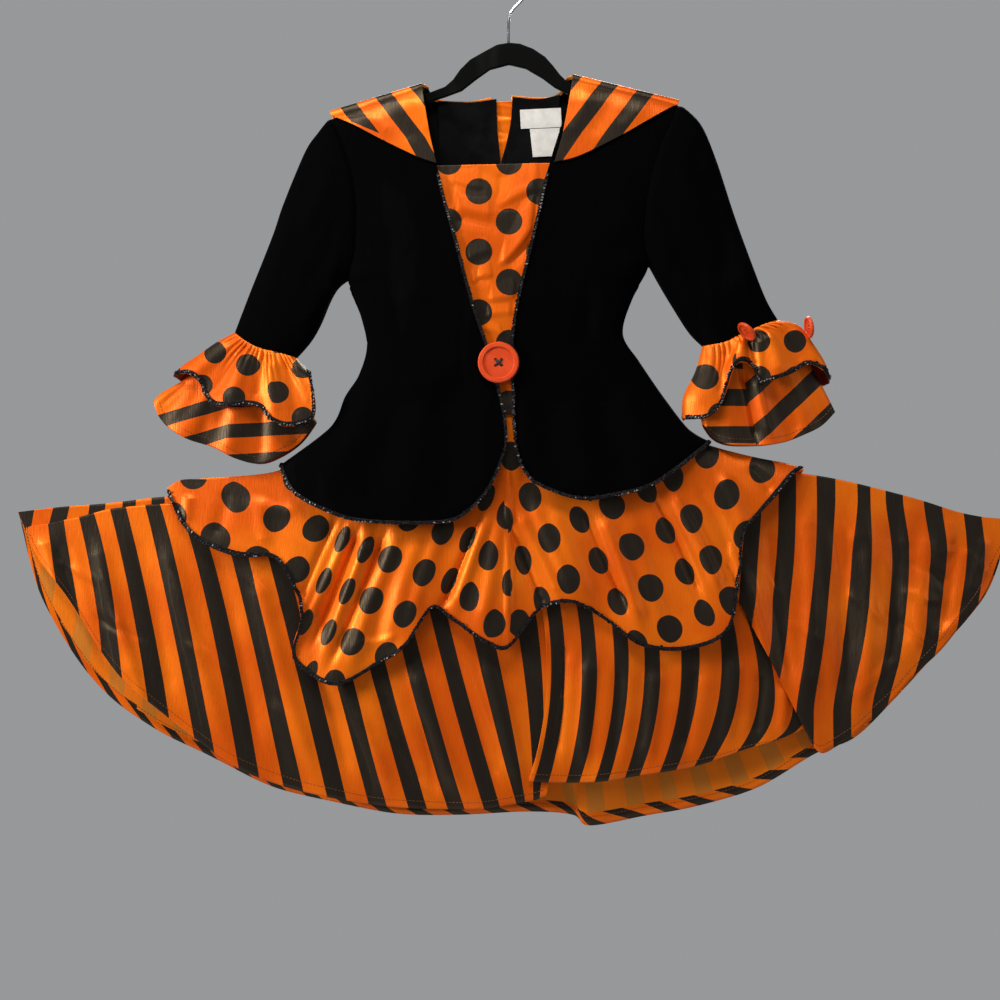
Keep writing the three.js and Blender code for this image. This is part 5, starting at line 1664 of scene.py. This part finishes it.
# %% One braid and the lines it can follow
def braid(node, entry, line, side, seed, spacing=3.1):
    """line gives u and v of the braid's two edges as arrays from one end to the other"""
    rng = np.random.default_rng(seed)
    (u0, v0), (u1, v1) = line
    low, lean_low = sample(entry, u0, v0)
    high, lean_high = sample(entry, u1, v1)
    rows = []
    for t in even(CORD_ROWS):
        lift = CORD_LIFT + CORD_ROUND * math.sin(math.pi * t)
        rows.append(mix(low, high, t) + mix(lean_low, lean_high, t) * lift)
    grid = np.stack(rows)
    maps = flat_map(grid[..., 0], grid[..., 2])
    made = cloth(node, grid, maps, side, thick=0.5, outside=CORD, slot="sequin_black")
    middle, lean = (made[key][CORD_ROWS // 2] for key in ("skin", "normal"))
    reach = reach_of(middle)
    stops = np.arange(2, reach[-1] - 2, spacing)
    points, faces = sequins(along(middle, reach, stops), along(lean, reach, stops), TRIM_WIDE, rng)
    discs = mesh_of(node + "_sequins", points, faces, None, np.zeros(len(faces), int), 0, [SEQUIN])
    made["discs"] = discs
    return len(stops)


def share_along(near, far, mm):
    """Which share of the way between two edges is so many mm, at most 0.45"""
    return np.minimum(0.45, mm / np.linalg.norm(far[0] - near[0], axis=1))


def above_hem(entry, u, mm):
    return 1 - share_along(sample(entry, u, np.zeros_like(u)), sample(entry, u, np.ones_like(u)), mm)


def hem_line(entry, u):
    return (u, above_hem(entry, u, TRIM_WIDE)), (u, np.ones_like(u))


def side_line(entry, v, at_left):
    share = share_along(sample(entry, np.zeros_like(v), v), sample(entry, np.ones_like(v), v), TRIM_WIDE)
    return ((0 * v, v), (share, v)) if at_left else ((1 - share, v), (np.ones_like(v), v))


# %% Braids on the jacket and the overskirt
total = 0
EDGE_ENDS = 0.978
EDGES = {  # the jacket front, where its braid starts, and whether that is the front's left edge
    "braid_edge_left": ("jacket_front_left", 0.235, False),
    "braid_edge_right": ("jacket_front_right", 0.262, True),
}
for seed, (node, (under, starts, at_left)) in enumerate(EDGES.items()):
    line = side_line(PIECES[under], mix(starts, EDGE_ENDS, even(160)), at_left)
    total += braid(node, PIECES[under], line, 1, 41 + seed)
HEMS = {
    "braid_hem_left": ("jacket_front_left", 1, 150),
    "braid_hem_right": ("jacket_front_right", 1, 150),
    "braid_back_left": ("jacket_back_left", -1, 110),
    "braid_back_right": ("jacket_back_right", -1, 110),
    "braid_overskirt_front": ("overskirt_front", 1, 420),
    "braid_overskirt_back": ("overskirt_back", -1, 260),
}
for seed, (node, (under, side, steps)) in enumerate(HEMS.items()):
    total += braid(node, PIECES[under], hem_line(PIECES[under], even(steps)), side, 50 + seed)


# %% Braids on the spotted cuffs
def half_ring(node, front):
    """The front or back half of a ring, as a sheet of its own to sew on"""
    entry = PIECES[node]
    half = entry["grid"].shape[1] // 2
    part = slice(0, half) if front else slice(half, 2 * half)
    return {key: entry[key][:, part] for key in ("grid", "skin", "normal")}


for seed, node in enumerate(("left", "right")):
    for front in (True, False):
        half = half_ring("ruffle_dots_" + node, front)
        name = "braid_cuff_" + node + ("" if front else "_back")
        total += braid(name, half, hem_line(half, mix(0.02, 0.98, even(110))), 1 if front else -1, 60 + seed)
print("sequins:", total)

# %% [markdown]
# ## Stitches and threads
# The turned hems of the skirt are held by one line of machine stitches, 8 mm above the edge. The big
# button is sewn on with a cross of black thread.


# %% Stitches
STITCH_LONG = 2.3
STITCH_STEP = 3.6
STITCH_WIDE = 0.45
STITCH_FOOT, STITCH_TOP = 0.02, 0.42


def stitches(name, rows):
    """Small dashes of thread along lines of points and normals, joined into one piece"""
    points, faces = [], []
    for line, normals in rows:
        reach = reach_of(line)
        for start in np.arange(1, reach[-1] - STITCH_LONG, STITCH_STEP):
            ends = [along(line, reach, stop) for stop in (start, start + STITCH_LONG)]
            normal = along(normals, reach, start)
            across = np.cross(ends[1] - ends[0], normal)
            across *= STITCH_WIDE / 2 / max(np.linalg.norm(across), 1e-9)
            base = len(points)
            for end in ends:
                foot = end + normal * STITCH_FOOT
                points += [foot - across, foot + across, end + normal * STITCH_TOP]
            faces += [(base, base + 3, base + 5, base + 2), (base + 2, base + 5, base + 4, base + 1),
                      (base, base + 1, base + 4, base + 3)]
    faces = np.array(faces)
    piece = mesh_of(name, np.array(points), faces, None, np.zeros(len(faces), int), 0, [THREAD])
    return piece


def hem_stitches(node, count, above=8.0, inside=False):
    entry = PIECES[node]
    u = mix(0.01, 0.99, even(count))
    line, normals = sample(entry, u, above_hem(entry, u, above))
    return (line - normals * CLOTH, -normals) if inside else (line, normals)


# %% Stitched hems
STITCHED = {
    "skirt_front_left": 300,
    "skirt_front_mid": 200,
    "skirt_front_right": 240,
    "skirt_back": 400,
    "ruffle_stripes_left": 200,
    "ruffle_stripes_right": 200,
}
STITCH_PIECES = {}
for node, count in STITCHED.items():
    lines = [hem_stitches(node, count)]
    if node.startswith("skirt"):
        lines.append(hem_stitches(node, count, 9.5, inside=True))
    STITCH_PIECES[node] = stitches(node + "_stitches", lines)
print("stitched hems:", len(STITCHED))

# %% A thread through the big button
low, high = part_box("button_front")
button_x, button_z = (low[0] + high[0]) / 2 / MM, (low[2] + high[2]) / 2 / MM
BUTTON_RADIUS = 20.4
BUTTON_SUNK = 1.7
HOLE_AWAY = BUTTON_RADIUS * 0.2
THREAD_THICK, THREAD_BOW, THREAD_APART = 1.7, 0.8, 0.5
thread_y = low[1] / MM + BUTTON_SUNK


def bar(start, end, thick):
    """A short round thread from one point to another, bowed a little towards the viewer"""
    points, faces = [], []
    steps, sides = 8, 8
    run = np.array(end) - np.array(start)
    first = np.cross(run / np.linalg.norm(run), (0, 1, 0))
    second = np.cross(run / np.linalg.norm(run), first)
    for k in range(steps + 1):
        t = k / steps
        centre = np.array(start) + run * t + np.array((0, -THREAD_BOW * math.sin(math.pi * t), 0))
        for s in range(sides):
            turn = 2 * math.pi * s / sides
            points.append(centre + thick / 2 * (math.cos(turn) * first + math.sin(turn) * second))
    for k in range(steps):
        for s in range(sides):
            a, b = k * sides + s, k * sides + (s + 1) % sides
            faces.append((a, b, b + sides, a + sides))
    return points, faces


# %% The cross
holes = [(button_x + HOLE_AWAY * math.cos(a), button_z + HOLE_AWAY * math.sin(a))
         for a in (math.pi / 4, 3 * math.pi / 4, 5 * math.pi / 4, 7 * math.pi / 4)]
cross_points, cross_faces = [], []
for (x0, z0), (x1, z1) in ((holes[0], holes[2]), (holes[1], holes[3])):
    for shift in (-THREAD_APART, THREAD_APART):
        points, faces = bar((x0 + shift, thread_y, z0), (x1 + shift, thread_y, z1), THREAD_THICK)
        cross_faces += [tuple(i + len(cross_points) for i in face) for face in faces]
        cross_points += points
cross_faces = np.array(cross_faces)
cross = mesh_of("button_thread", np.array(cross_points), cross_faces, None, np.zeros(len(cross_faces), int),
                len(cross_faces), [BLACK_THREAD])
print("thread cross on the big button")

# %% [markdown]
# ## Declaring the cloth
# Each sheet's cut is measured along its own folds, with what it lies on. Tubes count all round.

# %% Cuts and sizes
RESTS = {
    "jacket_front_left": ("hung", ["hanger_body"]),
    "jacket_front_right": ("hung", ["hanger_body"]),
    "jacket_back_left": ("hung", ["hanger_body"]),
    "jacket_back_right": ("hung", ["hanger_body"]),
    "sleeve_left": ("hung", ["hanger_body"]),
    "sleeve_right": ("hung", ["hanger_body"]),
    "collar_left": ("draped", ["jacket_front_left"]),
    "collar_right": ("draped", ["jacket_front_right"]),
    "collar_back_left": ("draped", ["jacket_back_left"]),
    "collar_back_right": ("draped", ["jacket_back_right"]),
}
for node in PIECES:
    if node not in RESTS and "braid" not in node:
        held = "gathered" if "skirt" in node or "ruffle" in node else "hung"
        RESTS[node] = (held, ["hanger_body"])
SEWN_ON = {
    "jacket_front_left": ["braid_edge_left", "braid_hem_left"],
    "jacket_front_right": ["braid_edge_right", "braid_hem_right"],
    "jacket_back_left": ["braid_back_left"],
    "jacket_back_right": ["braid_back_right"],
    "overskirt_front": ["braid_overskirt_front"],
    "overskirt_back": ["braid_overskirt_back"],
    "ruffle_dots_left": ["braid_cuff_left", "braid_cuff_left_back"],
    "ruffle_dots_right": ["braid_cuff_right", "braid_cuff_right_back"],
}
for node, (held, rests) in RESTS.items():
    trims = [PIECES[name][key] for name in SEWN_ON.get(node, []) for key in ("piece", "discs")]
    if node in STITCH_PIECES:
        trims.append(STITCH_PIECES[node])
